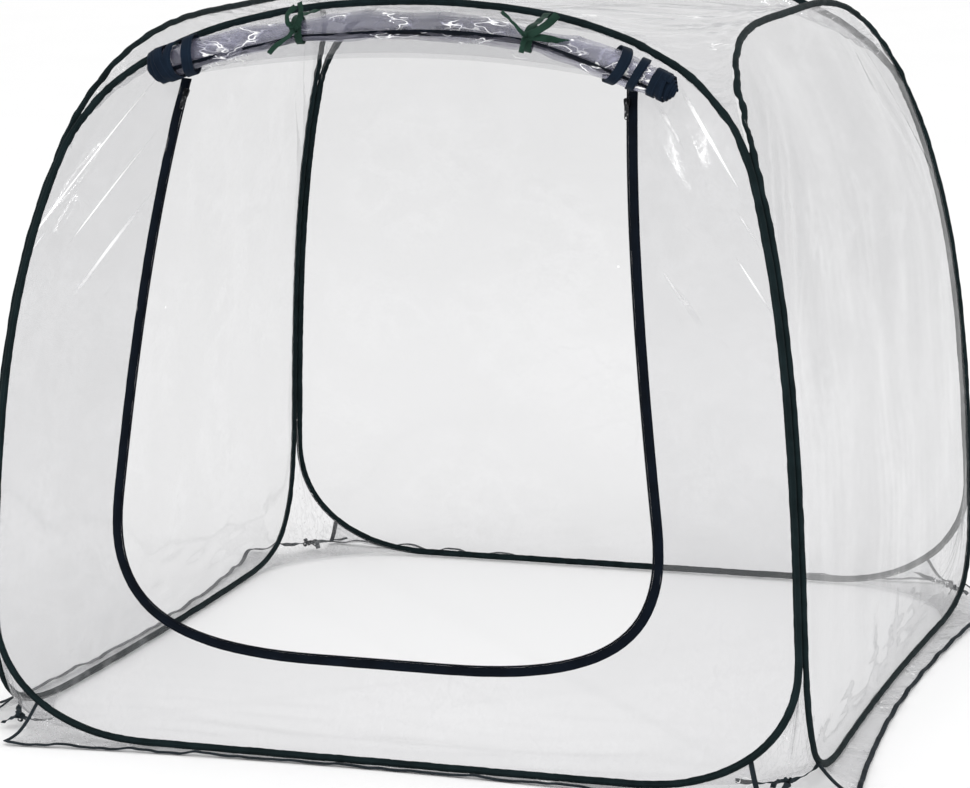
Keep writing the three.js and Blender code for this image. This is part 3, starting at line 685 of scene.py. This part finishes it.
def wall_film(wall):
    count, rings = 560, 52
    loop = shifted(whole_hoop(HOOPS[wall], 900), -0.004)
    angles = np.linspace(-np.pi, np.pi, count + 1)
    outer = ring_about_middle(loop, angles)
    inner = ring_about_middle(doorway_outline(), angles) if wall == 0 else MIDDLE + (outer - MIDDLE) * 0.004
    share = np.linspace(0, 1, rings)
    share = share if wall == 0 else share**0.75
    place = inner[None] + (outer - inner)[None] * share[:, None, None]
    to_outer = np.linalg.norm(outer[None] - place, axis=-1)
    to_inner = np.linalg.norm(inner[None] - place, axis=-1) if wall == 0 else 1.0
    relief = film_relief(wall, place, np.minimum(to_outer, to_inner))
    grid = on_wall(wall, place[..., 0], place[..., 1], relief)
    made = grid_object(f"{WALLS[wall]}_film_sheet", grid, LOOKS["walls" if wall else "front"], place)
    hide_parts(f"{WALLS[wall]}_film")
    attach(made, f"{WALLS[wall]}_wall")


# ---------------------------------------------------------------- zip


def zip_tape():
    line = door_line(0, 900)
    centre = on_wall(0, line[:, 0], line[:, 1])
    ripple = 0.0006 * waves(centre, 0.02, 101)
    section = slab(0.0067, 0.0008)[None] + np.stack([0 * ripple - 0.0013, ripple], -1)[:, None]
    made = sweep("zip_tape_band", centre, wall_normal(0, line[:, 1]), section, LOOKS["tape"])
    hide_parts("door_zip_tape")
    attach(made, "front_wall")


def zip_coil():
    """The nylon coil along the tape's inner edge, one bump for each tooth."""
    teeth = 1500
    line = door_line(-COIL_INSET, teeth * 4)
    centre = on_wall(0, line[:, 0], line[:, 1])
    bump = 1 + 0.22 * np.cos(np.arange(teeth * 4) * np.pi / 2)
    section = ellipse(COIL_WIDTH / 2, 0.0013, 8)[None] * bump[:, None, None]
    made = sweep("zip_coil_teeth", centre, wall_normal(0, line[:, 1]), section, LOOKS["coil"])
    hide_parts("door_zip_coil")
    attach(made, "front_wall")


# ---------------------------------------------------------------- rolled-up door


def roll_centre(u):
    u = np.asarray(u, float)
    z = ROLL["middle"] - ROLL["droop"] * (np.abs(u) / ROLL["reach"]) ** ROLL["power"]
    return np.stack([u, lean(z) - HALF_WIDTH - ROLL["standoff"], z], -1)


def roll_radius(u):
    pinch = sum(np.exp(-(((u - tie) / 0.034) ** 2)) for tie in TIE_AT)
    swell = np.exp(-(((np.abs(u) - 0.318) / 0.046) ** 2))
    return 0.0225 - 0.005 * pinch + 0.003 * swell - 0.07 * np.clip(u - 0.350, 0, None)


def on_roll(u, angle, radius):
    """Points round the roll: angle 0 faces forwards and a quarter turn is its top."""
    u, angle, radius = np.broadcast_arrays(u, angle, radius)
    ahead = unit(roll_centre(u + 0.001) - roll_centre(u - 0.001))
    side = np.array([0.0, -1.0, 0.0])
    up = unit(np.cross(np.broadcast_to(side, ahead.shape), ahead))
    return (
        roll_centre(u)
        + side * (radius * np.cos(angle))[..., None]
        + up * (radius * np.sin(angle))[..., None]
    )


def door_roll():
    """The rolled film: an outer turn with crumpled creases, and the turns inside it down to the core."""
    u = np.linspace(ROLL["left"], ROLL["right"], 420)[:, None]
    turns = 3.25
    angle = np.linspace(0, 2 * np.pi * turns, 300)[None] - 2.2
    inwards = (angle + 2.2) / (2 * np.pi * turns)
    radius = roll_radius(u) * (0.30 + 0.67 * inwards)
    spot = np.stack(np.broadcast_arrays(u * 0.30, np.cos(angle) * 0.022, np.sin(angle) * 0.022), -1)
    crumple = (
        (0.4 - np.abs(waves(spot, 0.012, 111))) * 0.0026
        + waves(spot * [2.2, 1, 1], 0.024, 112) * 0.0016
    )
    pinched = 1 - 0.8 * sum(np.exp(-(((u - tie) / 0.012) ** 2)) for tie in TIE_AT)
    radius = radius + crumple * pinched * (0.35 + 0.65 * inwards)
    radius = np.minimum(radius, roll_radius(u) + 0.0016)
    grid = on_roll(u, angle, radius)
    uv = np.stack(np.broadcast_arrays(u, angle * 0.02), -1)
    made = grid_object("door_roll_turns", grid, LOOKS["roll"], uv)
    dark = on_roll(u[:, 0], -0.75 + 0.35 * np.sin(u[:, 0] * 9), roll_radius(u[:, 0]) * 0.72)
    band = sweep("door_roll_edge_tape", dark, [0, -0.6, -0.8], slab(0.0085, 0.0006), LOOKS["tape"])
    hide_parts("door_roll")
    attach(made, "door_roll_up")
    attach(band, "door_roll_up")


def wrap_ring(name, u, width, tilt, phase, lift, thickness=0.0007):
    """A band of tape once round the roll, its plane tilted by tilt along the roll."""
    angle = np.linspace(0, 2 * np.pi, 72, endpoint=False)
    at = u + tilt * np.cos(angle - phase)
    outer = roll_radius(at) + lift
    ring = []
    for across, out in slab(width / 2, thickness):
        ring.append(on_roll(at + across, angle, outer + out + 0.0004 * np.sin(7 * angle + 90 * across)))
    grid = np.stack(ring, 1)
    grid = np.concatenate([grid, grid[:, :1]], 1)
    grid = np.concatenate([grid, grid[:1]], 0)
    v = lengths_along(np.vstack([slab(width / 2, thickness), slab(width / 2, thickness)[:1]]))
    uv = np.stack(np.broadcast_arrays(np.linspace(0, 0.15, 73)[:, None], v[None]), -1)
    return grid_object(name, grid, LOOKS["wrap"], uv)


def end_spiral(name, u, sign):
    """Turns of tape that show at the end of the roll, each a little proud of the one outside it."""
    turns = 3.4
    t = np.linspace(0, 1, 260)
    angle = 2 * np.pi * turns * t + 0.6
    radius = (roll_radius(u) + 0.0008) * (1 - 0.76 * t)
    centre = on_roll(np.full(260, u) + sign * 0.010 * t, angle, radius)
    outwards = unit(centre - on_roll(np.full(260, u) + sign * 0.010 * t, angle, radius * 0 + 1e-5))
    return sweep(name, centre, outwards, slab(0.0055, 0.0008), LOOKS["wrap"])


def edge_wraps():
    """Zip tape of the door's own edges, wound round the roll's two ends."""
    left = [
        wrap_ring("wrap", -0.318, 0.0155, 0.007, 1.2, 0.0026),
        wrap_ring("wrap", -0.338, 0.0120, 0.008, 2.6, 0.0013),
        wrap_ring("wrap", -0.352, 0.0130, -0.003, 1.0, 0.0024),
        wrap_ring("wrap", -0.362, 0.0120, 0.002, 0.4, 0.0013),
        end_spiral("wrap", -0.366, -1),
    ]
    right = [
        wrap_ring("wrap", 0.326, 0.0160, 0.014, 0.5, 0.0026),
        wrap_ring("wrap", 0.358, 0.0130, 0.006, 0.9, 0.0014),
        wrap_ring("wrap", 0.386, 0.0130, 0.002, 1.0, 0.0004),
        wrap_ring("wrap", 0.398, 0.0110, -0.002, 1.0, 0.0010),
        end_spiral("wrap", 0.402, 1),
    ]
    for name, parts in (("left", left), ("right", right)):
        made = joined(f"door_edge_rings_{name}", parts)
        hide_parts(f"door_edge_wrap_{name}")
        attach(made, "door_roll_up")


def door_top_strip():
    """The door's own film between the doorway's head and the underside of the roll.

    Its rows lie at even distances along one direction.
    """
    half = DOOR["top_half"] - 0.004
    u = np.linspace(-half, half, 260)[:, None]
    down = np.linspace(0, 1, 90)[None]
    head = on_wall(0, u[:, 0], head_height(u[:, 0]) + 0.006, 0.0016)[:, None]
    centre = roll_centre(u[:, 0])
    radius = roll_radius(u[:, 0]) + 0.002
    under = (centre + np.array([0, 0.64, -0.77]) * radius[:, None])[:, None]
    line = head + (under - head) * down[..., None]
    spot = np.stack(np.broadcast_arrays(u, down * 0.05), -1)
    fold = 0.0024 * waves(spot * [1, 0.5], 0.018, 121) + 0.0014 * waves(spot * [1, 0.2], 0.009, 122)
    sag = np.sin(np.pi * down) * (fold + 0.004)
    grid = line - np.array([0, 0.475, 0.88]) * sag[..., None]
    made = grid_object("door_top_film", grid, LOOKS["strip"], spot)
    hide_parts("door_film")
    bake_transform(made)


def knot(centre, size, material, turn):
    """A flat ribbon pulled into an overhand knot: a small trefoil."""
    t = np.linspace(0, 2 * np.pi, 90, endpoint=False)
    x = np.sin(t) + 1.5 * np.sin(2 * t)
    y = np.cos(t) - 1.5 * np.cos(2 * t)
    z = -np.sin(3 * t) * 0.9
    c, s = math.cos(turn), math.sin(turn)
    path = np.stack([c * x - s * y, z, s * x + c * y], -1) * size / 2.6 + centre
    return sweep("knot", path, unit(path - centre), slab(size * 0.42, 0.0006), material, closed=True)


def ribbon(points, width, material, normal, count=60, thickness=0.0005, curl=0.0, seed=1):
    """A flat ribbon through a few points, with a little waviness."""
    path = curve_through(points, count)
    t = np.linspace(0, 1, count)
    normals = np.broadcast_to(np.asarray(normal, float), path.shape)
    twist = curl * np.sin(t * np.pi * 1.5 + seed)
    ahead = unit(np.gradient(path, axis=0))
    side = np.cross(ahead, normals)
    normals = unit(normals * np.cos(twist)[:, None] + side * np.sin(twist)[:, None])
    cup = 0.0006 * np.sin(t * 21 + seed)
    section = slab(width / 2, thickness)[None] + np.stack([0 * cup, cup], -1)[:, None]
    return sweep("ribbon", path, normals, section, material)


def door_tie(index):
    """Green ribbon tied round the roll, its strap going up to the sleeve and its tails hanging."""
    at = TIE_AT[index]
    radius = roll_radius(at)
    centre = roll_centre(at)
    green = LOOKS["ribbon"]
    angle = np.linspace(0, 2 * np.pi, 60, endpoint=False)
    slant = 0.004 * np.cos(angle - 0.6)
    loop = on_roll(at + slant, angle, np.full(60, radius + 0.0021))
    hub = np.broadcast_to(centre, loop.shape)
    band = sweep("band", loop, unit(loop - hub), slab(0.0055, 0.0005), green, closed=True)
    front = np.array([0, -radius - 0.0055, 0.004])
    tie_at = centre + front
    sleeve_at = on_wall(0, at + 0.006, FRONT_HOOP["height"] - 0.016, 0.004)
    top = on_roll(at + 0.002, np.pi / 2 + 0.2, radius + 0.004)
    strap = ribbon([tie_at, on_roll(at, 0.9, radius + 0.0045), top, sleeve_at], 0.011, green, [0, -0.6, 0.8])
    knots = [knot(tie_at, 0.0072, green, 0.4 + index)]
    out = np.array([0, -1.0, 0])
    if index == 0:
        tails = [
            (
                [(0, 0, 0), (-0.010, -0.003, -0.012), (-0.027, -0.004, -0.024), (-0.041, 0.002, -0.036)],
                0.0075,
                0.5,
            ),
            ([(0, 0, 0), (0.008, -0.004, 0.010), (0.012, -0.004, 0.024), (0.008, 0.003, 0.038)], 0.0095, 0.3),
            (
                [(0, 0, 0), (-0.009, -0.004, 0.010), (-0.008, -0.003, 0.022), (0.002, 0.001, 0.032)],
                0.0085,
                0.4,
            ),
        ]
    else:
        tails = [
            (
                [(0, 0, 0), (-0.012, -0.003, 0.014), (-0.024, -0.002, 0.026), (-0.037, 0.004, 0.035)],
                0.0060,
                0.6,
            ),
            ([(0, 0, 0), (0.016, -0.004, 0.008), (0.032, -0.003, 0.018), (0.046, 0.004, 0.032)], 0.0115, 0.4),
            (
                [(0, 0, 0), (0.022, -0.004, 0.000), (0.042, -0.002, -0.003), (0.062, 0.004, -0.008)],
                0.0105,
                0.5,
            ),
            ([(0, 0, 0), (-0.004, -0.003, -0.010), (-0.007, -0.001, -0.022)], 0.0080, 0.3),
        ]
    parts = [band, strap, *knots]
    for i, (steps, width, curl) in enumerate(tails):
        path = tie_at + np.asarray(steps)
        parts.append(ribbon(path, width, green, out, curl=curl, seed=i + 2 * index))
    side = "right" if index else "left"
    made = joined(f"door_tie_ribbon_{side}", parts)
    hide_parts(f"door_tie_{side}")
    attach(made, "front_wall")


# ---------------------------------------------------------------- skirts


def skirt_point(wall, u, t, z):
    """Point on a skirt: t is 0 at its hinge line and 1 at the inner edge of its binding."""
    u, t, z = np.broadcast_arrays(u, t, z)
    share = (np.abs(u) / SKIRT_HALF) ** 2
    reach = SKIRT_MIDDLE[wall] + (SKIRT_END[wall] - SKIRT_MIDDLE[wall]) * share
    bow = SIDE_BOW * np.cos(np.pi * u / (2 * HALF_WIDTH)) * (wall % 2)
    outer = bow - HALF_WIDTH - 0.008 - reach + 0.0084
    y = -SKIRT_HINGE + (outer + SKIRT_HINGE) * t
    return turned(wall, np.stack([u * (1 + SKIRT_FLARE / SKIRT_HALF * t), y, z], -1))


def skirt_rise(wall, u, t):
    """How high the skirt's folds stand off the ground."""
    wave = waves(np.stack(np.broadcast_arrays(u, t * 0.03), -1), 0.045, 130 + wall)
    ripple = waves(np.stack(np.broadcast_arrays(u, t * 0.03), -1), 0.014, 140 + wall)
    ends = 0.4 + 0.6 * (np.abs(u) / SKIRT_HALF) ** 2
    return 0.0012 + np.clip(t, 0, 1) * ends * (
        0.0042 * (wave + 0.9).clip(0) + 0.0012 * (ripple + 0.8).clip(0)
    )


def hoop_height(wall, u):
    """Height of a hoop's bottom run above a place along it, rising towards its corners."""
    half = half_hoop(HOOPS[wall])
    low = half[half[:, 1] < 0.15]
    return np.interp(np.abs(u), low[:, 0], low[:, 1])


def skirt(wall):
    """The skirt's film, sewn along the sleeve and lying on the ground, and its binding."""
    name = WALLS[wall]
    u = np.linspace(-SKIRT_HALF, SKIRT_HALF, 300)[:, None]
    t = np.linspace(0, 1, 44)[None]
    sewn = on_wall(wall, u, hoop_height(wall, u) - 0.003, 0.001)
    edge = skirt_point(wall, u, np.ones_like(u), skirt_rise(wall, u, np.ones_like(u)))
    grid = sewn + (edge - sewn) * t[..., None]
    grid[..., 2] = skirt_rise(wall, u, t) + (sewn[..., 2] - 0.001) * (1 - t) ** 1.7
    uv = np.stack(np.broadcast_arrays(u, np.linspace(0, 0.06, grid.shape[1])[None]), -1)
    film = grid_object(f"{name}_skirt_film", grid, LOOKS["skirt"], uv)
    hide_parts(f"{name}_skirt")
    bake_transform(film)
    rim = np.vstack([grid[0], grid[1:-1, -1], grid[-1][::-1]])
    inner_steps = np.linspace(0, 1, len(rim))
    rim = rim + np.array([0, 0, 0.0005]) + np.array([0, 0, 0.0002]) * np.sin(inner_steps * 90)[:, None]
    rim = spaced(rim, 420)
    section = slab(0.0040, 0.0009) + [0.0040, 0]
    binding = sweep(f"{name}_skirt_edge", rim, turned(wall, (0, -0.05, 1)), section, LOOKS["binding"])
    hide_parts(f"{name}_skirt_binding")
    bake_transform(binding)


# ---------------------------------------------------------------- corners


def corner_point(corner, z, inwards):
    reach = HALF_WIDTH - lean(np.asarray(z, float)) - inwards
    return turned(corner, np.stack(np.broadcast_arrays(reach, -reach, z), -1))


def corner_bodies(corner):
    """The two walls that meet at a corner, where a joint joins them, or the one that carries it."""
    pairs = [
        ("front_wall", "right_wall"),
        ("right_wall", "back_wall"),
        ("left_wall",),
        ("front_wall", "left_wall"),
    ]
    return pairs[corner]


def follow_corner(made, corner, spread):
    """Attaches a soft piece to the one wall that carries its corner, or else bakes its place into its mesh.
    """
    bodies = corner_bodies(corner)
    if len(bodies) == 1:
        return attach(made, bodies[0])
    at = corner_point(corner, 0.3, 0.0)
    along = turned(corner, (0.7071, 0.7071, 0)) * spread
    start, end = at - along, at + along
    if corner == 3:
        start, end = end, start
    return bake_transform(made)


def corner_seam(corner):
    z = np.linspace(SEAM_BOTTOM, SEAM_TOP, 240)[:, None]
    across = np.linspace(0, 1, 9)[None]
    reach = HALF_WIDTH - lean(z)
    near = 0.0035
    a = np.stack(np.broadcast_arrays(reach - SEAM_INSET, near - reach, z), -1)
    b = np.stack(np.broadcast_arrays(reach - near, SEAM_INSET - reach, z), -1)
    pucker = 0.0007 * waves(z, 0.012, 150 + corner)[:, None]
    outwards = np.array([0.7071, -0.7071, 0])
    crown = np.sin(np.pi * across) * 0.0016 + pucker
    grid = turned(corner, a + (b - a) * across[..., None] + outwards * crown[..., None])
    uv = np.stack(np.broadcast_arrays(z, across * 0.012 + 0.004), -1)
    made = grid_object(f"corner_strip_{CORNERS[corner]}", grid, LOOKS["sleeve"], uv)
    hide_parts(f"corner_seam_{CORNERS[corner]}")
    follow_corner(made, corner, 0.006)


def corner_edge(wall, sign, count):
    """Places along a hoop's bottom corner, going up to where the seam starts."""
    half = half_hoop(HOOPS[wall])
    corner = HOOPS[wall]["corner"]
    turn = half[(half[:, 0] >= HOOPS[wall]["flat"]) & (half[:, 1] <= corner + 1e-6)]
    path = spaced(turn, 200)
    path = path[int(0.08 * 200) :]
    path = spaced(path, count)
    return on_wall(wall, sign * path[:, 0], path[:, 1], -0.0052)


def corner_gusset(corner):
    """Film that closes the rounded corner between two hoops, down to the ground."""
    rows, columns = 90, 70
    first = corner_edge(corner, 1, rows)
    second = corner_edge((corner + 1) % 4, -1, rows)
    share = np.linspace(0, 1, rows)
    height = np.maximum(0.0016, (first[:, 2] + second[:, 2]) / 2 * share + 0.0016 * (1 - share))
    middle = corner_point(corner, height, 0.048 * (1 - share) + 0.0062 * share)
    t = np.linspace(0, 1, columns)[None, :, None]
    grid = first[:, None] * (1 - t) ** 2 + 2 * middle[:, None] * t * (1 - t) + second[:, None] * t**2
    spot = np.stack(np.broadcast_arrays(t[..., 0] * 0.35, share[:, None] * 0.03), -1)
    fold = (
        0.0030
        * waves(spot, 0.013, 160 + corner)
        * np.sin(np.pi * t[..., 0])
        * np.sin(np.pi * share)[:, None] ** 0.5
    )
    grid = grid + turned(corner, (0.7071, -0.7071, 0)) * fold[..., None]
    grid[..., 2] = np.maximum(grid[..., 2], 0.0012)
    uv = np.stack(np.broadcast_arrays(t[..., 0] * 0.3, share[:, None] * 0.3), -1)
    made = grid_object(f"corner_film_{CORNERS[corner]}", grid, LOOKS["gusset"], uv)
    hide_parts(f"corner_gusset_{CORNERS[corner]}")
    follow_corner(made, corner, 0.05)


def corner_tie(corner):
    """Ribbons from the two hoops knotted together across the corner, with a loop and loose tails."""
    dark = LOOKS["corner"]

    def place(x, y, z):
        return turned(corner, (HALF_WIDTH - x, y - HALF_WIDTH, z))

    middle = place(0.036, 0.036, 0.019)
    up = np.array([0, 0, 1.0])
    parts = [
        ribbon([place(0.104, 0.004, 0.024), place(0.072, 0.016, 0.020), middle], 0.009, dark, up, curl=0.6),
        ribbon(
            [middle, place(0.016, 0.072, 0.022), place(0.004, 0.104, 0.030)],
            0.009,
            dark,
            up,
            curl=0.6,
            seed=2,
        ),
        ribbon(
            [middle, place(0.036, 0.022, 0.016), place(0.040, 0.004, 0.006)],
            0.009,
            dark,
            up,
            curl=0.4,
            seed=3,
        ),
        ribbon(
            [middle, place(0.050, 0.026, 0.022), place(0.058, 0.034, 0.009)],
            0.008,
            dark,
            up,
            curl=0.5,
            seed=4,
        ),
        knot(middle, 0.0075, dark, 0.7 * corner),
    ]
    made = joined(f"corner_ribbon_{CORNERS[corner]}", parts)
    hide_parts(f"corner_tie_{CORNERS[corner]}")
    follow_corner(made, corner, 0.03)


# ---------------------------------------------------------------- roof

ROOF_CELLS = 120
ROOF_INSIDE = 0.0064


def roof_edge(wall):
    """One edge of the roof, along the top of a hoop, between the two corners."""
    hoop = HOOPS[wall]
    half = half_hoop(hoop)
    arch = half[half[:, 1] > hoop["leaves"] + 0.012]
    line = np.vstack([(arch * [-1, 1]), arch[::-1][1:]])
    points = on_wall(wall, line[:, 0], line[:, 1], -ROOF_INSIDE)
    left = corner_point((wall + 3) % 4, 0.872, 0.015)
    right = corner_point(wall, 0.872, 0.015)
    return spaced(np.vstack([left, points, right]), ROOF_CELLS + 1)


def settled(edges):
    """A film stretched over four edges: each inside point lies midway between its neighbours."""
    front, right, back, left = edges
    n = ROOF_CELLS
    grid = np.zeros((n + 1, n + 1, 3))
    grid[0], grid[n], grid[:, 0], grid[:, n] = front, back[::-1], left[::-1], right
    pull = np.zeros((n - 1, n - 1, 3))
    pull[0] += grid[0, 1:n]
    pull[-1] += grid[n, 1:n]
    pull[:, 0] += grid[1:n, 0]
    pull[:, -1] += grid[1:n, n]
    k = np.arange(1, n)
    modes = np.sin(np.pi * np.outer(k, k) / n) * math.sqrt(2 / n)
    stiffness = 2 - 2 * np.cos(np.pi * k / n)
    total = stiffness[:, None] + stiffness[None]
    for axis in range(3):
        grid[1:n, 1:n, axis] = modes @ ((modes @ pull[..., axis] @ modes) / total) @ modes
    return grid


def refined(grid, times):
    """A grid with its cells divided again along both ways."""
    n = grid.shape[0]
    at = np.linspace(0, n - 1, (n - 1) * times + 1)
    low = np.clip(at.astype(int), 0, n - 2)
    t = (at - low)[:, None, None]
    rows = grid[low] * (1 - t) + grid[low + 1] * t
    t = (at - low)[None, :, None]
    return rows[:, low] * (1 - t) + rows[:, low + 1] * t


def roof():
    """The roof, settled over the hoops' tops with soft wrinkles, cut into quarters: each lies over one
    corner.
    """
    grid = refined(settled([roof_edge(wall) for wall in range(4)]), 2)
    n = grid.shape[0]
    edge = np.minimum.reduce(
        [
            *np.broadcast_arrays(np.arange(n)[:, None], np.arange(n)[None]),
            *np.broadcast_arrays(n - 1 - np.arange(n)[:, None], n - 1 - np.arange(n)[None]),
        ]
    ) / (n - 1)
    held = np.clip(edge / 0.03, 0, 1)
    flat = grid[..., :2]
    relief = 0.0040 * waves(flat * [0.5, 1], 0.08, 170) + 0.0026 * waves(flat * [0.16, 1], 0.016, 171)
    near = np.exp(-((edge / 0.12) ** 2))
    relief = relief + 0.0022 * near * waves(flat, 0.014, 172)
    grid[..., 2] += relief * held
    middle = (n - 1) // 2
    quarters = {
        "front_left": grid[: middle + 1, : middle + 1],
        "front_right": grid[: middle + 1, middle:],
        "back_right": grid[middle:, middle:],
        "back_left": grid[middle:, : middle + 1],
    }
    return quarters


def roof_pieces():
    """Each quarter of the roof, over one corner, made into a piece of its own; the one over the back left
    corner goes in two halves.
    """
    quarters = roof()
    roof_corner_halves(quarters.pop("back_left"))
    for name, part in quarters.items():
        corner = CORNERS.index(name)
        piece = grid_object(f"roof_film_{name}", part, LOOKS["roof"], part[..., :2])
        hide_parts("roof_film")
        follow_corner(piece, corner, 0.12)


def roof_corner_halves(part):
    """The roof over the corner that no joint crosses, in two halves, each attached to its own wall."""
    n = part.shape[0]
    i, j = np.meshgrid(np.arange(n), np.arange(n), indexing="ij")
    faces = np.array(grid_faces(n, n))
    below = (i + j).ravel()[faces[:, 0]] < n - 1
    walls = {"left": (below, (1, 0, 0), part[0, 0]), "back": (~below, (0, -1, 0), part[-1, -1])}
    for side, (chosen, towards, anchor) in walls.items():
        used, index = np.unique(faces[chosen], return_inverse=True)
        points = part.reshape(-1, 3)[used]
        name = f"roof_film_back_left_{side}"
        piece = make_object(name, points, index.reshape(-1, 4).tolist(), LOOKS["roof"], points[:, :2])
        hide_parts("roof_film")
        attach(piece, f"{side}_wall")
        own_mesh(piece)


# ---------------------------------------------------------------- surroundings


def area_light(name, place, target, size, power, colour=(1, 1, 1)):
    data = bpy.data.lights.new(name, "AREA")
    data.shape = "RECTANGLE"
    data.size, data.size_y = size
    data.energy = power
    data.color = colour
    light = bpy.data.objects.new(name, data)
    bpy.context.scene.collection.objects.link(light)
    light.location = place
    light.rotation_euler = (Vector(target) - Vector(place)).to_track_quat("-Z", "Y").to_euler()


def surroundings():
    scene = bpy.context.scene
    scene.view_settings.view_transform = "Standard"
    scene.cycles.transparent_max_bounces = 40
    world = bpy.data.worlds.new("studio")
    scene.world = world
    world.use_nodes = True
    background = world.node_tree.nodes["Background"]
    background.inputs["Color"].default_value = (1, 1, 1, 1)
    background.inputs["Strength"].default_value = 1.03
    area_light("front_right_strip", (3.4, -3.6, 3.0), (0.3, -0.5, 0.8), (0.12, 1.3), 22)
    area_light("front_left_strip", (-3.6, -3.2, 2.8), (-0.3, -0.5, 0.8), (0.12, 1.2), 18)
    area_light("high_front_strip", (0.4, -3.4, 3.6), (0, -0.6, 1.0), (1.2, 0.10), 16)
    area_light("back_strip", (1.2, 3.6, 3.2), (0, 0, 0.9), (1.4, 0.12), 14)
    r = Recipe("studio_floor")
    shade = r.ramp(r.noise(1.4, 3), (0.0, 0.95), (1.0, 0.98))
    inputs = {"Base Color": shade, "Roughness": 0.9, "Specular IOR Level": 0.1}
    floor_look = r.finish(r.add("ShaderNodeBsdfPrincipled", inputs).outputs[0])
    corners = [(-14, -14, -0.0008), (14, -14, -0.0008), (14, 14, -0.0008), (-14, 14, -0.0008)]
    make_object("studio_floor", corners, [[0, 1, 2, 3]], floor_look)


# ---------------------------------------------------------------- assembly

make_camera()
surroundings()
for wall in range(4):
    sleeve(wall)
    hoop(wall)
    wall_film(wall)
    skirt(wall)
for corner in range(4):
    corner_seam(corner)
    corner_gusset(corner)
    corner_tie(corner)
roof_pieces()
zip_tape()
zip_coil()
door_roll()
edge_wraps()
door_top_strip()
door_tie(0)
door_tie(1)
for node in ("zip_slider_left", "zip_slider_right", "zip_pull_left", "zip_pull_right"):
    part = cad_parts[node]
    part.data.materials.clear()
    part.data.materials.append(LOOKS["slider"])
